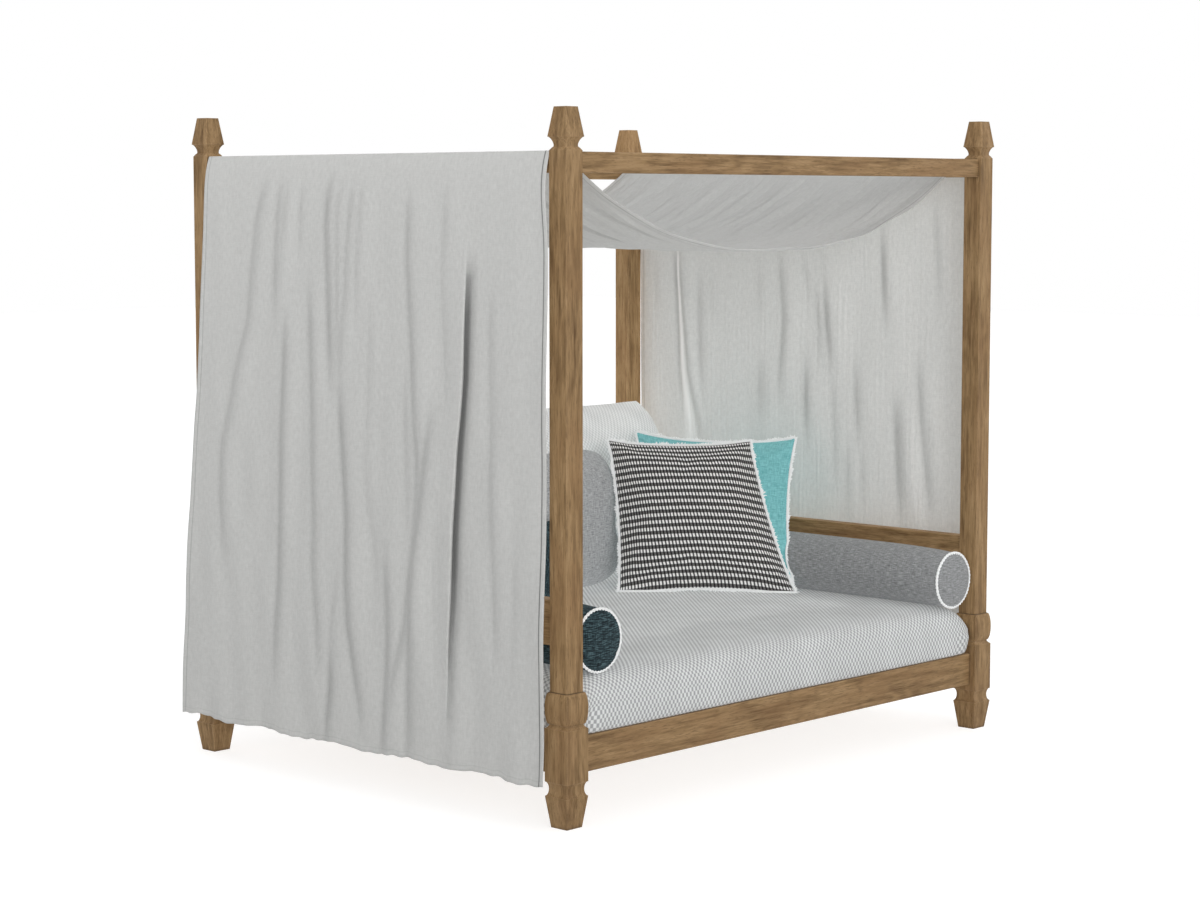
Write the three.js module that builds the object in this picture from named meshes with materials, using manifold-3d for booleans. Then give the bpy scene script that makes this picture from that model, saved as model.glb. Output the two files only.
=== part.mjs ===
// Outdoor daybed with a sling canopy, side curtains and loose cushions.
// Millimetres, +Z up, +X to the right along the front, +Y to the back.
// The origin is on the floor, midway between the four legs.
import * as THREE from 'three';
import { mergeVertices } from 'three/addons/utils/BufferGeometryUtils.js';
import Module from 'manifold-3d';

const wasm = await Module();
wasm.setup();

// Overall frame
const overallHeight = 2100;
const postSpacingX = 2044;
const postSpacingY = 1628;

// Clearances
const touchGap = 0.3; // between pieces that bear on each other
const softGap = 0.5; // between a soft piece and what it presses on
const mortiseGap = 0.5; // round a tenon in its mortise
const boreGap = 0.4; // round a stud or peg in its hole
const cutOverrun = 5; // how far a cutting tool passes a face

// Lower leg: foot, cove, block, quirk and barrel, all square in plan
const footBaseWidth = 66;
const footTopWidth = 92;
const footHeight = 94;
const coveNeckWidth = 75;
const coveHeight = 43;
const blockWidth = 92.5;
const blockHeight = 158;
const quirkWidth = 79;
const quirkHeight = 13;
const barrelWidth = 93;
const barrelEndWidth = 75;
const barrelHeight = 94;
const turningChamfer = 2;
const hollowSteps = 12; // sections along each cove, swell and neck
const swellSteps = 16;
const quirkSteps = 5;

// Upper post and finial
const shaftWidth = 70;
const finialNeckWidth = 53;
const finialShoulderHeight = 9;
const finialNeckHeight = 30;
const finialWidth = 77;
const finialTopWidth = 51;
const finialHeight = 86;

// Rails
const bottomRailHeight = 108;
const bottomRailThickness = 45;
const bottomRailUnderside = 158;
const midRailHeight = 134;
const midRailThickness = 45;
const midRailUnderside = 537;
const topRailHeight = 61;
const topRailThickness = 50;
const topRailDrop = 3; // from the finial's shoulder down to the top rails
const railChamfer = 2;
const tenonThickness = 18;
const bottomTenonLength = 33;
const upperTenonLength = 21;
const tenonShoulder = 12; // rail height left above and below a tenon

// Steel stud in the seam between leg and post
const studDiameter = 12;
const studLength = 110;
const studSides = 12;
const boreEndRoom = 2;

// Pegs that lock the bottom rails' tenons, driven from inside the frame
const pegDiameter = 9;
const pegLength = 55;
const pegInset = 11.5; // from the block's face to the peg's centre
const pegOffset = 20; // above or below the rail's middle
const pegSides = 8;

// Slatted base
const slatCount = 12;
const slatWidth = 95;
const slatThickness = 18;
const ledgerThickness = 28;
const ledgerHeight = 38;
const beamThickness = 42;
const beamHeight = 80;
const beamHousing = 12; // depth of the beam's seat in each side rail

// Mattress and loose cushions
const mattressEndInset = 46; // from the legs' middle to the mattress's ends
const mattressOverhang = 26; // past the legs' middle, in front and behind
const mattressThickness = 172;
const mattressCrown = 5;
const backCushionInset = 16; // from the mattress's ends
const backCushionHeight = 654;
const backCushionThickness = 262;
const greyCushionWidth = 700;
const greyCushionHeight = 522;
const greyCushionThickness = 190;
const greyCushionReach = 613; // from the right bolster to its middle
const bolsterDiameter = 200;
const bolsterBackGap = 127; // from the right bolster to the back cushion
const bolsterDome = 10;
const domeShare = 0.6;
const bolsterSides = 28;
const pipingDiameter = 10;
const rightBolsterGap = 4; // from the posts' inner faces to its side
const rightBolsterSetback = 2; // from the mattress's front to its end
const leftBolsterGap = 27;
const leftBolsterSetback = 38;
const scatterPillowSpan = 600; // what the check and teal pillows' corners are shares of
const checkPillowThickness = 130;
const checkPillowRise = 538; // from the seam at its foot to its top corners
const tealPillowThickness = 115;
const tealPillowRise = 550;
const frontFillShare = 0.66; // how much of a squeezed pillow's filling is on its free side
const navyPillowWidth = 500;
const navyPillowHeight = 300;
const navyPillowThickness = 110;
const navyPillowShift = 270; // its middle, left of the grey cushion's
const backLeanDegrees = 2; // of the cushions that stand along the back
const navyLeanDegrees = 6;
const pressDepth = 7; // how far a loose cushion sinks into what it lies on

// Canopy and curtains
const clothThickness = 3;
const canopySag = 297;
const canopyEdgeSetback = 14; // from a post's face to the canopy's side hem
const flatShare = 0.42; // of the half span, where the sag's flat bottom ends
const easeShare = 0.11; // of the half span, how gently it turns upwards there
const canopyLeaveDegrees = 28; // slope at which it leaves the rails
const canopySwell = 4; // height of the soft waves across it
const canopyWaves = 1.5;
const slackShare = 0.15;
const curtainEdgeGap = 3; // from a post's face to the curtain's edge at the top
const curtainHem = 128; // height of the hem over the floor
const curtainStandOff = 14; // how far the cloth hangs out from the posts
const curtainFlare = 26; // more of that at the hem
const curtainBackFlare = 111; // the left curtain's spread past its rail at the hem
const curtainFrontFlare = 14;
const rightCurtainFlare = 6;
const edgeFlareShare = 0.06; // how far down the drop the edges start to spread
const curtainFoldDepth = 36; // the deepest fold, at the hem
const hemRipple = 9;
const rippleTurns = 5;

// Colours
const woodColour = 0x8c7152;
const linenColour = 0xc6c6c2;
const latticeColour = 0xc9cccb;
const greyColour = 0x8f9394;
const navyColour = 0x2a3d44;
const checkColour = 0x77716e;
const tealColour = 0x5fb4b6;
const steelColour = 0x9a9c9e;

// Heights and places that follow
const legHeight = footHeight + coveHeight + blockHeight + quirkHeight + barrelHeight;
const postHeight = overallHeight - legHeight - touchGap;
const legX = postSpacingX / 2;
const legY = postSpacingY / 2;
const bottomRailTop = bottomRailUnderside + bottomRailHeight;
const finialBaseZ = overallHeight - finialHeight;
const topRailTop = finialBaseZ - finialNeckHeight - finialShoulderHeight - topRailDrop;
const topRailUnderside = topRailTop - topRailHeight;
const mattressLength = postSpacingX - 2 * mattressEndInset;
const mattressWidth = postSpacingY + 2 * mattressOverhang;
const mattressBase = bottomRailTop + touchGap;
const mattressTop = mattressBase + mattressThickness;
const bottomRailMiddle = bottomRailUnderside + bottomRailHeight / 2;
const slatTop = bottomRailTop;
const slatUnderside = slatTop - slatThickness;
const innerRailX = legX - bottomRailThickness / 2;
const innerRailY = legY - bottomRailThickness / 2;

function toSolid(geometry) {
  const bare = geometry.clone();
  bare.deleteAttribute('normal');
  bare.deleteAttribute('uv');
  const merged = mergeVertices(bare);
  const vertProperties = new Float32Array(merged.attributes.position.array);
  const triVerts = new Uint32Array(merged.index.array);
  return new wasm.Manifold(new wasm.Mesh({ numProp: 3, vertProperties, triVerts }));
}

function toGeometry(solid) {
  const mesh = solid.getMesh();
  const geometry = new THREE.BufferGeometry();
  geometry.setAttribute('position', new THREE.BufferAttribute(mesh.vertProperties, 3));
  geometry.setIndex(new THREE.BufferAttribute(mesh.triVerts, 1));
  return geometry;
}

// A geometry from a list of points and a list of corner triples
function fromFaces(points, faces) {
  const geometry = new THREE.BufferGeometry();
  const places = points.flatMap((p) => [p.x, p.y, p.z]);
  geometry.setAttribute('position', new THREE.Float32BufferAttribute(places, 3));
  geometry.setIndex(faces.flat());
  return geometry;
}

// A square turning: chamfered square sections, each given as a half width at a height
function squareTurning(stations, chamfer) {
  const points = [];
  const faces = [];
  for (const [half, z] of stations) {
    const flat = half - chamfer;
    points.push(
      new THREE.Vector3(half, flat, z),
      new THREE.Vector3(flat, half, z),
      new THREE.Vector3(-flat, half, z),
      new THREE.Vector3(-half, flat, z),
      new THREE.Vector3(-half, -flat, z),
      new THREE.Vector3(-flat, -half, z),
      new THREE.Vector3(flat, -half, z),
      new THREE.Vector3(half, -flat, z),
    );
  }
  const sides = 8;
  const last = (stations.length - 1) * sides;
  for (let row = 0; row < stations.length - 1; row += 1) {
    for (let side = 0; side < sides; side += 1) {
      const a = row * sides + side;
      const b = row * sides + ((side + 1) % sides);
      faces.push([a, b, b + sides], [a, b + sides, a + sides]);
    }
  }
  for (let side = 1; side < sides - 1; side += 1) {
    faces.push([0, side + 1, side], [last, last + side, last + side + 1]);
  }
  return fromFaces(points, faces);
}

// Half widths along a hollow or a swell between two heights, depth positive inwards
function arcStations(fromZ, toZ, fromHalf, toHalf, depth, steps) {
  const stations = [];
  for (let step = 0; step <= steps; step += 1) {
    const angle = (Math.PI * step) / steps;
    const share = (1 - Math.cos(angle)) / 2;
    const straight = fromHalf + (toHalf - fromHalf) * share;
    stations.push([straight - depth * Math.sin(angle), fromZ + (toZ - fromZ) * share]);
  }
  return stations;
}

function boxSolid(sizeX, sizeY, sizeZ, centre) {
  const box = new THREE.BoxGeometry(sizeX, sizeY, sizeZ);
  box.translate(centre.x, centre.y, centre.z);
  return toSolid(box);
}

// A cylinder along X, Y or Z, centred on a point
function rodGeometry(diameter, length, sides, axis) {
  const rod = new THREE.CylinderGeometry(diameter / 2, diameter / 2, length, sides);
  if (axis === 'x') rod.rotateZ(Math.PI / 2);
  if (axis === 'z') rod.rotateX(Math.PI / 2);
  return rod;
}

function rodSolid(diameter, length, sides, axis, centre) {
  const rod = rodGeometry(diameter, length, sides, axis);
  rod.translate(centre.x, centre.y, centre.z);
  return toSolid(rod);
}

// A bar along X with its long edges chamfered, centred on the origin
function barGeometry(length, thickness, height, chamfer) {
  const y = thickness / 2;
  const z = height / 2;
  const outline = new THREE.Shape([
    new THREE.Vector2(y, z - chamfer),
    new THREE.Vector2(y - chamfer, z),
    new THREE.Vector2(chamfer - y, z),
    new THREE.Vector2(-y, z - chamfer),
    new THREE.Vector2(-y, chamfer - z),
    new THREE.Vector2(chamfer - y, -z),
    new THREE.Vector2(y - chamfer, -z),
    new THREE.Vector2(y, chamfer - z),
  ]);
  const bar = new THREE.ExtrudeGeometry(outline, { depth: length, bevelEnabled: false });
  bar.translate(0, 0, -length / 2);
  bar.rotateX(Math.PI / 2);
  bar.rotateZ(Math.PI / 2);
  return bar;
}

function finish(colour, roughness, metalness) {
  return new THREE.MeshStandardMaterial({ color: colour, roughness, metalness });
}
const wood = finish(woodColour, 0.75, 0);
const linen = finish(linenColour, 0.95, 0);
const lattice = finish(latticeColour, 0.9, 0);
const greyCloth = finish(greyColour, 0.95, 0);
const navyCloth = finish(navyColour, 0.95, 0);
const checkCloth = finish(checkColour, 0.95, 0);
const tealCloth = finish(tealColour, 0.95, 0);
const steel = finish(steelColour, 0.4, 1);

const group = new THREE.Group();

function place(name, geometry, material, x, y, z) {
  const mesh = new THREE.Mesh(geometry, material);
  mesh.name = name;
  mesh.position.set(x, y, z);
  group.add(mesh);
  return mesh;
}

// The mortise for a rail's tenon, cut into a leg or post that stands on the origin
function mortise(alongX, sideX, sideY, bodyWidth, tenonLength, middleZ, railHeight) {
  const depth = tenonLength + boreEndRoom + cutOverrun;
  const offset = bodyWidth / 2 - (tenonLength + boreEndRoom) + depth / 2;
  const wide = tenonThickness + 2 * mortiseGap;
  const high = railHeight - 2 * tenonShoulder + 2 * mortiseGap;
  if (alongX) {
    return boxSolid(depth, wide, high, new THREE.Vector3(-sideX * offset, 0, middleZ));
  }
  return boxSolid(wide, depth, high, new THREE.Vector3(0, -sideY * offset, middleZ));
}

// Lower leg, its feet on the floor, with a bore on top for the stud
const coveDepth = (footTopWidth - coveNeckWidth) / 2;
const barrelEndHalf = barrelEndWidth / 2;
const barrelSwell = barrelWidth / 2 - barrelEndHalf;
const quirkDepth = (blockWidth - quirkWidth) / 2;
const coveTop = footHeight + coveHeight;
const blockTop = coveTop + blockHeight;
const barrelBase = blockTop + quirkHeight;
const legStations = [
  [footBaseWidth / 2, 0],
  ...arcStations(footHeight, coveTop, footTopWidth / 2, blockWidth / 2, coveDepth, hollowSteps),
  ...arcStations(blockTop, barrelBase, blockWidth / 2, barrelEndHalf, quirkDepth / 2, quirkSteps),
  ...arcStations(barrelBase, legHeight, barrelEndHalf, barrelEndHalf, -barrelSwell, swellSteps).slice(1),
];
const studBoreDepth = studLength / 2 + boreEndRoom;

function legGeometry(sideX, sideY) {
  const bore = studBoreDepth + cutOverrun;
  const boreCentre = new THREE.Vector3(0, 0, legHeight - studBoreDepth + bore / 2);
  let solid = toSolid(squareTurning(legStations, turningChamfer));
  solid = solid.subtract(rodSolid(studDiameter + 2 * boreGap, bore, studSides, 'z', boreCentre));
  for (const alongX of [true, false]) {
    solid = solid.subtract(
      mortise(alongX, sideX, sideY, blockWidth, bottomTenonLength, bottomRailMiddle, bottomRailHeight),
    );
    solid = solid.subtract(pegBore(alongX, sideX, sideY));
  }
  return toGeometry(solid);
}

// Peg places are in the leg's own frame: across each tenon, blind from the inner face
function pegCentre(alongX, sideX, sideY) {
  const inset = blockWidth / 2 - pegInset;
  const reach = blockWidth / 2 - pegLength / 2;
  if (alongX) {
    return new THREE.Vector3(-sideX * inset, -sideY * reach, bottomRailMiddle + pegOffset);
  }
  return new THREE.Vector3(-sideX * reach, -sideY * inset, bottomRailMiddle - pegOffset);
}

function pegBore(alongX, sideX, sideY) {
  const length = pegLength + boreEndRoom + cutOverrun;
  const shift = (cutOverrun - boreEndRoom) / 2;
  const centre = pegCentre(alongX, sideX, sideY);
  if (alongX) {
    centre.y -= sideY * shift;
  } else {
    centre.x -= sideX * shift;
  }
  return rodSolid(pegDiameter + 2 * boreGap, length, pegSides, alongX ? 'y' : 'x', centre);
}

// Upper post in its own frame, its foot at zero
const finialBase = finialBaseZ - legHeight - touchGap;
const finialNeckBase = finialBase - finialNeckHeight;
const shaftTop = finialNeckBase - finialShoulderHeight;
const finialHalf = finialWidth / 2;
const finialNeckDepth = finialHalf - finialNeckWidth / 2;
const shoulderHalf = finialNeckWidth / 2 + turningChamfer;
const postStations = [
  [shaftWidth / 2, 0],
  [shaftWidth / 2, shaftTop],
  ...arcStations(finialNeckBase, finialBase, shoulderHalf, finialHalf, finialNeckDepth / 2, hollowSteps),
  [finialTopWidth / 2, postHeight],
];

function postGeometry(sideX, sideY) {
  const bore = studBoreDepth + cutOverrun;
  const boreCentre = new THREE.Vector3(0, 0, studBoreDepth - bore / 2);
  const floor = legHeight + touchGap;
  const topMiddle = topRailUnderside + topRailHeight / 2 - floor;
  const midMiddle = midRailUnderside + midRailHeight / 2 - floor;
  let solid = toSolid(squareTurning(postStations, turningChamfer));
  solid = solid.subtract(rodSolid(studDiameter + 2 * boreGap, bore, studSides, 'z', boreCentre));
  for (const alongX of [true, false]) {
    solid = solid.subtract(
      mortise(alongX, sideX, sideY, shaftWidth, upperTenonLength, topMiddle, topRailHeight),
    );
    if (!alongX || sideY > 0) {
      solid = solid.subtract(
        mortise(alongX, sideX, sideY, shaftWidth, upperTenonLength, midMiddle, midRailHeight),
      );
    }
  }
  return toGeometry(solid);
}

const corners = [
  ['front_left', -1, -1],
  ['front_right', 1, -1],
  ['back_left', -1, 1],
  ['back_right', 1, 1],
];
for (const [corner, sideX, sideY] of corners) {
  const x = sideX * legX;
  const y = sideY * legY;
  place(`leg_${corner}`, legGeometry(sideX, sideY), wood, x, y, 0);
  place(`post_${corner}`, postGeometry(sideX, sideY), wood, x, y, legHeight + touchGap);
  const stud = rodGeometry(studDiameter, studLength, studSides, 'z');
  place(`stud_${corner}`, stud, steel, x, y, legHeight + touchGap / 2);
  for (const alongX of [true, false]) {
    const centre = pegCentre(alongX, sideX, sideY);
    const peg = rodGeometry(pegDiameter, pegLength, pegSides, alongX ? 'y' : 'x');
    const name = `peg_${corner}_${alongX ? 'long' : 'side'}`;
    place(name, peg, wood, x + centre.x, y + centre.y, centre.z);
  }
}

// A rail with a tenon at each end, centred on the origin, along X
function railSolid(spacing, bodyWidth, thickness, height, tenonLength) {
  const length = spacing - bodyWidth - 2 * touchGap;
  const tenonHeight = height - 2 * tenonShoulder;
  const whole = length + 2 * tenonLength;
  const tenons = boxSolid(whole, tenonThickness, tenonHeight, new THREE.Vector3());
  return toSolid(barGeometry(length, thickness, height, railChamfer)).add(tenons);
}

// The holes that a bottom rail's two tenons need for their pegs
function tenonPegHole(spacing, end, rise) {
  const along = spacing / 2 - blockWidth / 2 + pegInset;
  const centre = new THREE.Vector3(end * along, 0, rise);
  return rodSolid(pegDiameter + 2 * boreGap, bottomRailThickness, pegSides, 'y', centre);
}

function bottomRailSolid(spacing, rise) {
  let rail = railSolid(spacing, blockWidth, bottomRailThickness, bottomRailHeight, bottomTenonLength);
  for (const end of [-1, 1]) rail = rail.subtract(tenonPegHole(spacing, end, rise));
  return rail;
}

function placeAlongY(name, geometry, material, x, y, z) {
  const mesh = place(name, geometry, material, x, y, z);
  mesh.rotation.z = Math.PI / 2;
  return mesh;
}

// Centre beam under the slats, housed in the two side rails
const beamTop = slatUnderside - touchGap;
const beamMiddle = beamTop - beamHeight / 2;
const beamLength = 2 * (innerRailX + beamHousing - mortiseGap);
const beam = barGeometry(beamLength, beamThickness, beamHeight, railChamfer);
place('centre_beam', beam, wood, 0, 0, beamMiddle);

function sideRailGeometry(sideX) {
  const depth = beamHousing + cutOverrun;
  const offset = bottomRailThickness / 2 - beamHousing + depth / 2;
  const wide = beamThickness + 2 * touchGap;
  const high = beamHeight + 2 * touchGap;
  const centre = new THREE.Vector3(0, sideX * offset, beamMiddle - bottomRailMiddle);
  const rail = bottomRailSolid(postSpacingY, -pegOffset);
  return toGeometry(rail.subtract(boxSolid(wide, depth, high, centre)));
}

const longRail = toGeometry(bottomRailSolid(postSpacingX, pegOffset));
place('bottom_rail_front', longRail, wood, 0, -legY, bottomRailMiddle);
place('bottom_rail_back', longRail, wood, 0, legY, bottomRailMiddle);
placeAlongY('bottom_rail_left', sideRailGeometry(-1), wood, -legX, 0, bottomRailMiddle);
placeAlongY('bottom_rail_right', sideRailGeometry(1), wood, legX, 0, bottomRailMiddle);

function upperRailGeometry(spacing, thickness, height) {
  return toGeometry(railSolid(spacing, shaftWidth, thickness, height, upperTenonLength));
}
const midRailMiddle = midRailUnderside + midRailHeight / 2;
const midSideRail = upperRailGeometry(postSpacingY, midRailThickness, midRailHeight);
const midBackRail = upperRailGeometry(postSpacingX, midRailThickness, midRailHeight);
placeAlongY('mid_rail_left', midSideRail, wood, -legX, 0, midRailMiddle);
placeAlongY('mid_rail_right', midSideRail, wood, legX, 0, midRailMiddle);
place('mid_rail_back', midBackRail, wood, 0, legY, midRailMiddle);

const topRailMiddle = topRailUnderside + topRailHeight / 2;
const topLongRail = upperRailGeometry(postSpacingX, topRailThickness, topRailHeight);
const topSideRail = upperRailGeometry(postSpacingY, topRailThickness, topRailHeight);
place('top_rail_front', topLongRail, wood, 0, -legY, topRailMiddle);
place('top_rail_back', topLongRail, wood, 0, legY, topRailMiddle);
placeAlongY('top_rail_left', topSideRail, wood, -legX, 0, topRailMiddle);
placeAlongY('top_rail_right', topSideRail, wood, legX, 0, topRailMiddle);

// Ledgers on the long rails, and the slats that lie on them
const ledgerLength = postSpacingX - blockWidth - 2 * mortiseGap;
const ledger = barGeometry(ledgerLength, ledgerThickness, ledgerHeight, railChamfer);
const ledgerY = innerRailY - touchGap - ledgerThickness / 2;
const ledgerMiddle = slatUnderside - touchGap - ledgerHeight / 2;
place('ledger_front', ledger, wood, 0, -ledgerY, ledgerMiddle);
place('ledger_back', ledger, wood, 0, ledgerY, ledgerMiddle);

const slatLength = 2 * (innerRailY - mortiseGap);
const slatRun = postSpacingX - blockWidth - slatWidth - 2 * mortiseGap;
const slat = barGeometry(slatLength, slatWidth, slatThickness, railChamfer);
for (let index = 0; index < slatCount; index += 1) {
  const x = (index / (slatCount - 1) - 1 / 2) * slatRun;
  placeAlongY(`slat_${index + 1}`, slat, wood, x, 0, slatTop - slatThickness / 2);
}

// Places along a grid from -1 to 1, closer together towards both ends
function gridPlaces(count, spread) {
  const places = [];
  for (let step = 0; step <= count; step += 1) {
    const even = (2 * step) / count - 1;
    const bent = Math.abs(Math.sin((Math.PI / 2) * even)) ** spread;
    places.push(Math.sign(even) * (step === 0 || step === count ? 1 : bent));
  }
  return places;
}

// A closed cushion from two faces that meet in a seam round the rim.
// front and back give a point for a place (u, v), each from -1 to 1.
function cushionGeometry([columns, rows], [spreadAcross, spreadUp], front, back) {
  const across = gridPlaces(columns, spreadAcross);
  const up = gridPlaces(rows, spreadUp);
  const points = [];
  const faces = [];
  const frontIndex = [];
  const backIndex = [];
  for (let j = 0; j <= rows; j += 1) {
    for (let i = 0; i <= columns; i += 1) {
      const rim = i === 0 || j === 0 || i === columns || j === rows;
      frontIndex.push(points.push(front(across[i], up[j])) - 1);
      backIndex.push(rim ? points.length - 1 : points.push(back(across[i], up[j])) - 1);
    }
  }
  const stride = columns + 1;
  for (let j = 0; j < rows; j += 1) {
    for (let i = 0; i < columns; i += 1) {
      const [a, b, c, d] = [0, 1, stride + 1, stride].map((k) => j * stride + i + k);
      const f = frontIndex;
      const r = backIndex;
      faces.push([f[a], f[b], f[c]], [f[a], f[c], f[d]]);
      faces.push([r[a], r[c], r[b]], [r[a], r[d], r[c]]);
    }
  }
  return fromFaces(points, faces);
}

// How full a cushion is at a place, from 1 in the middle to 0 at the seam
function fullness(u, v, [powerAcross, powerUp], pinch) {
  return ((1 - Math.abs(u) ** powerAcross) * (1 - Math.abs(v) ** powerUp)) ** pinch;
}

// A cushion lying flat: rounded corners, crowned top, and an underside that it presses flat
function flatCushion(shape) {
  const { length, width, thickness, crown, cornerShare, cells, spreads } = shape;
  const { topPowers, underPowers } = shape;
  const at = (u, v, side) => {
    const full = fullness(u, v, side > 0 ? topPowers : underPowers, 1 / 2);
    const dome = side > 0 ? crown * (1 - u * u) * (1 - v * v) : 0;
    return new THREE.Vector3(
      (length / 2) * u * (1 - cornerShare * v ** 8),
      (width / 2) * v * (1 - cornerShare * u ** 8),
      side * (thickness / 2) * full + dome,
    );
  };
  return cushionGeometry(cells, spreads, (u, v) => at(u, v, 1), (u, v) => at(u, v, -1));
}

// A cushion stretched between four corner points, fuller in front or behind.
// The sides are drawn in between the corners, or the corners rounded, by a share of the size.
function spannedCushion(shape) {
  const { baseLeft, baseRight, topLeft, topRight } = shape;
  const { frontBulge, backBulge, drawnShare, roundShare, powers, pinch, cells, spreads } = shape;
  const rise = new THREE.Vector3().addVectors(topLeft, topRight).sub(baseLeft).sub(baseRight);
  const run = new THREE.Vector3().addVectors(baseRight, topRight).sub(baseLeft).sub(topLeft);
  const outward = new THREE.Vector3().crossVectors(run, rise).normalize();
  const at = (u, v, bulge) => {
    const s = (1 + u * (1 - drawnShare * (1 - v * v)) * (1 - roundShare * v ** 4)) / 2;
    const t = (1 + v * (1 - drawnShare * (1 - u * u)) * (1 - roundShare * u ** 4)) / 2;
    const low = new THREE.Vector3().lerpVectors(baseLeft, baseRight, s);
    const high = new THREE.Vector3().lerpVectors(topLeft, topRight, s);
    const point = new THREE.Vector3().lerpVectors(low, high, t);
    return point.addScaledVector(outward, bulge * fullness(u, v, powers, pinch));
  };
  const front = (u, v) => at(u, v, frontBulge);
  const back = (u, v) => at(u, v, -backBulge);
  return cushionGeometry(cells, spreads, front, back);
}

// Puts a geometry made in the part's frame into a mesh whose origin is its middle
function placeWhere(name, geometry, material) {
  geometry.computeBoundingBox();
  const middle = geometry.boundingBox.getCenter(new THREE.Vector3());
  geometry.translate(-middle.x, -middle.y, -middle.z);
  return place(name, geometry, material, middle.x, middle.y, middle.z);
}

// Mattress, bull-nosed all round
const mattressShape = {
  length: mattressLength,
  width: mattressWidth,
  thickness: mattressThickness,
  crown: mattressCrown,
  cornerShare: 0.012,
  topPowers: [34, 28],
  underPowers: [70, 60],
  cells: [18, 16],
  spreads: [0.3, 0.3],
};
const mattressMiddle = mattressBase + mattressThickness / 2;
place('mattress', flatCushion(mattressShape), lattice, 0, 0, mattressMiddle);

// The room that loose cushions leave round the mattress: its shape grown by the soft gap
function mattressRoom() {
  const grown = flatCushion({
    ...mattressShape,
    length: mattressLength + 2 * softGap,
    width: mattressWidth + 2 * softGap,
    thickness: mattressThickness + 2 * softGap,
  });
  grown.translate(0, 0, mattressMiddle);
  return toSolid(grown);
}
const overBed = mattressRoom();

const cushionFoot = mattressTop + mattressCrown - pressDepth;

// A cushion that stands along the back, leaning by a small angle
function standingCushion(shape) {
  const { width, height, thickness, middleX, middleY, leanDegrees } = shape;
  const lean = THREE.MathUtils.degToRad(leanDegrees);
  const shift = (height / 2) * Math.sin(lean);
  const top = cushionFoot + height * Math.cos(lean);
  const left = middleX - width / 2;
  const right = middleX + width / 2;
  return spannedCushion({
    ...shape,
    frontBulge: thickness / 2,
    backBulge: thickness / 2,
    baseLeft: new THREE.Vector3(left, middleY - shift, cushionFoot),
    baseRight: new THREE.Vector3(right, middleY - shift, cushionFoot),
    topLeft: new THREE.Vector3(left, middleY + shift, top),
    topRight: new THREE.Vector3(right, middleY + shift, top),
  });
}

// Where the bolsters lie, and how far forward the back cushion stands
const bolsterZ = mattressTop + bolsterDiameter / 2;
const bolsterReach = legX - shaftWidth / 2 - bolsterDiameter / 2;
const rightBolsterX = bolsterReach - rightBolsterGap;
const leftBolsterX = leftBolsterGap - bolsterReach;
const rightBolsterSide = rightBolsterX - bolsterDiameter / 2;
const backCushionY = legY - midRailThickness / 2 - softGap - backCushionThickness / 2;
const backCushionFront = backCushionY - backCushionThickness / 2;
const mattressFront = -mattressWidth / 2;
const rightBolsterFront = mattressFront + rightBolsterSetback;
const bolsterLength = backCushionFront - bolsterBackGap - rightBolsterFront;

// Back cushion against the rear rail, and the grey one in front of it
const greyCushionX = rightBolsterSide - greyCushionReach;
const greyCushionY = backCushionFront - greyCushionThickness / 2 - softGap;
const backCushion = standingCushion({
  width: mattressLength - 2 * backCushionInset,
  height: backCushionHeight,
  thickness: backCushionThickness,
  middleX: 0,
  middleY: backCushionY,
  leanDegrees: backLeanDegrees,
  drawnShare: 0,
  roundShare: 0.06,
  powers: [30, 3.2],
  pinch: 0.55,
  cells: [16, 12],
  spreads: [0.25, 0.65],
});
const greyCushion = standingCushion({
  width: greyCushionWidth,
  height: greyCushionHeight,
  thickness: greyCushionThickness,
  middleX: greyCushionX,
  middleY: greyCushionY,
  leanDegrees: backLeanDegrees,
  drawnShare: 0.01,
  roundShare: 0.16,
  powers: [3.6, 2.8],
  pinch: 0.55,
  cells: [12, 12],
  spreads: [0.6, 0.7],
});
placeWhere('back_cushion', toGeometry(toSolid(backCushion).subtract(overBed)), lattice);
placeWhere('grey_cushion', toGeometry(toSolid(greyCushion).subtract(overBed)), greyCloth);

// Bolsters along both sides, with domed ends and a piping ring at each end
function bolsterGeometry(diameter, length) {
  const radius = diameter / 2;
  const end = length / 2 - bolsterDome;
  const bead = pipingDiameter / 2;
  const profile = [
    new THREE.Vector2(0, -length / 2),
    new THREE.Vector2(radius * domeShare, bead / 2 - length / 2),
    new THREE.Vector2(radius, -end - bead),
    new THREE.Vector2(radius + bead / 2, -end),
    new THREE.Vector2(radius, bead - end),
    new THREE.Vector2(radius, end - bead),
    new THREE.Vector2(radius + bead / 2, end),
    new THREE.Vector2(radius, end + bead),
    new THREE.Vector2(radius * domeShare, length / 2 - bead / 2),
    new THREE.Vector2(0, length / 2),
  ];
  return new THREE.LatheGeometry(profile, bolsterSides);
}
const rightBolsterY = rightBolsterFront + bolsterLength / 2;
const leftBolsterY = mattressFront + leftBolsterSetback + bolsterLength / 2;

function bolsterAt(diameter, length, x, y) {
  const bolster = bolsterGeometry(diameter, length);
  bolster.translate(x, y, bolsterZ);
  return toSolid(bolster);
}
const roomDiameter = bolsterDiameter + 2 * softGap;
const roomLength = bolsterLength + 2 * softGap;
const rightBolsterRoom = bolsterAt(roomDiameter, roomLength, rightBolsterX, rightBolsterY);
const rightBolster = bolsterAt(bolsterDiameter, bolsterLength, rightBolsterX, rightBolsterY);
const leftBolster = bolsterAt(bolsterDiameter, bolsterLength, leftBolsterX, leftBolsterY);
placeWhere('bolster_right', toGeometry(rightBolster.subtract(overBed)), greyCloth);
placeWhere('bolster_left', toGeometry(leftBolster.subtract(overBed)), navyCloth);

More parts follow.
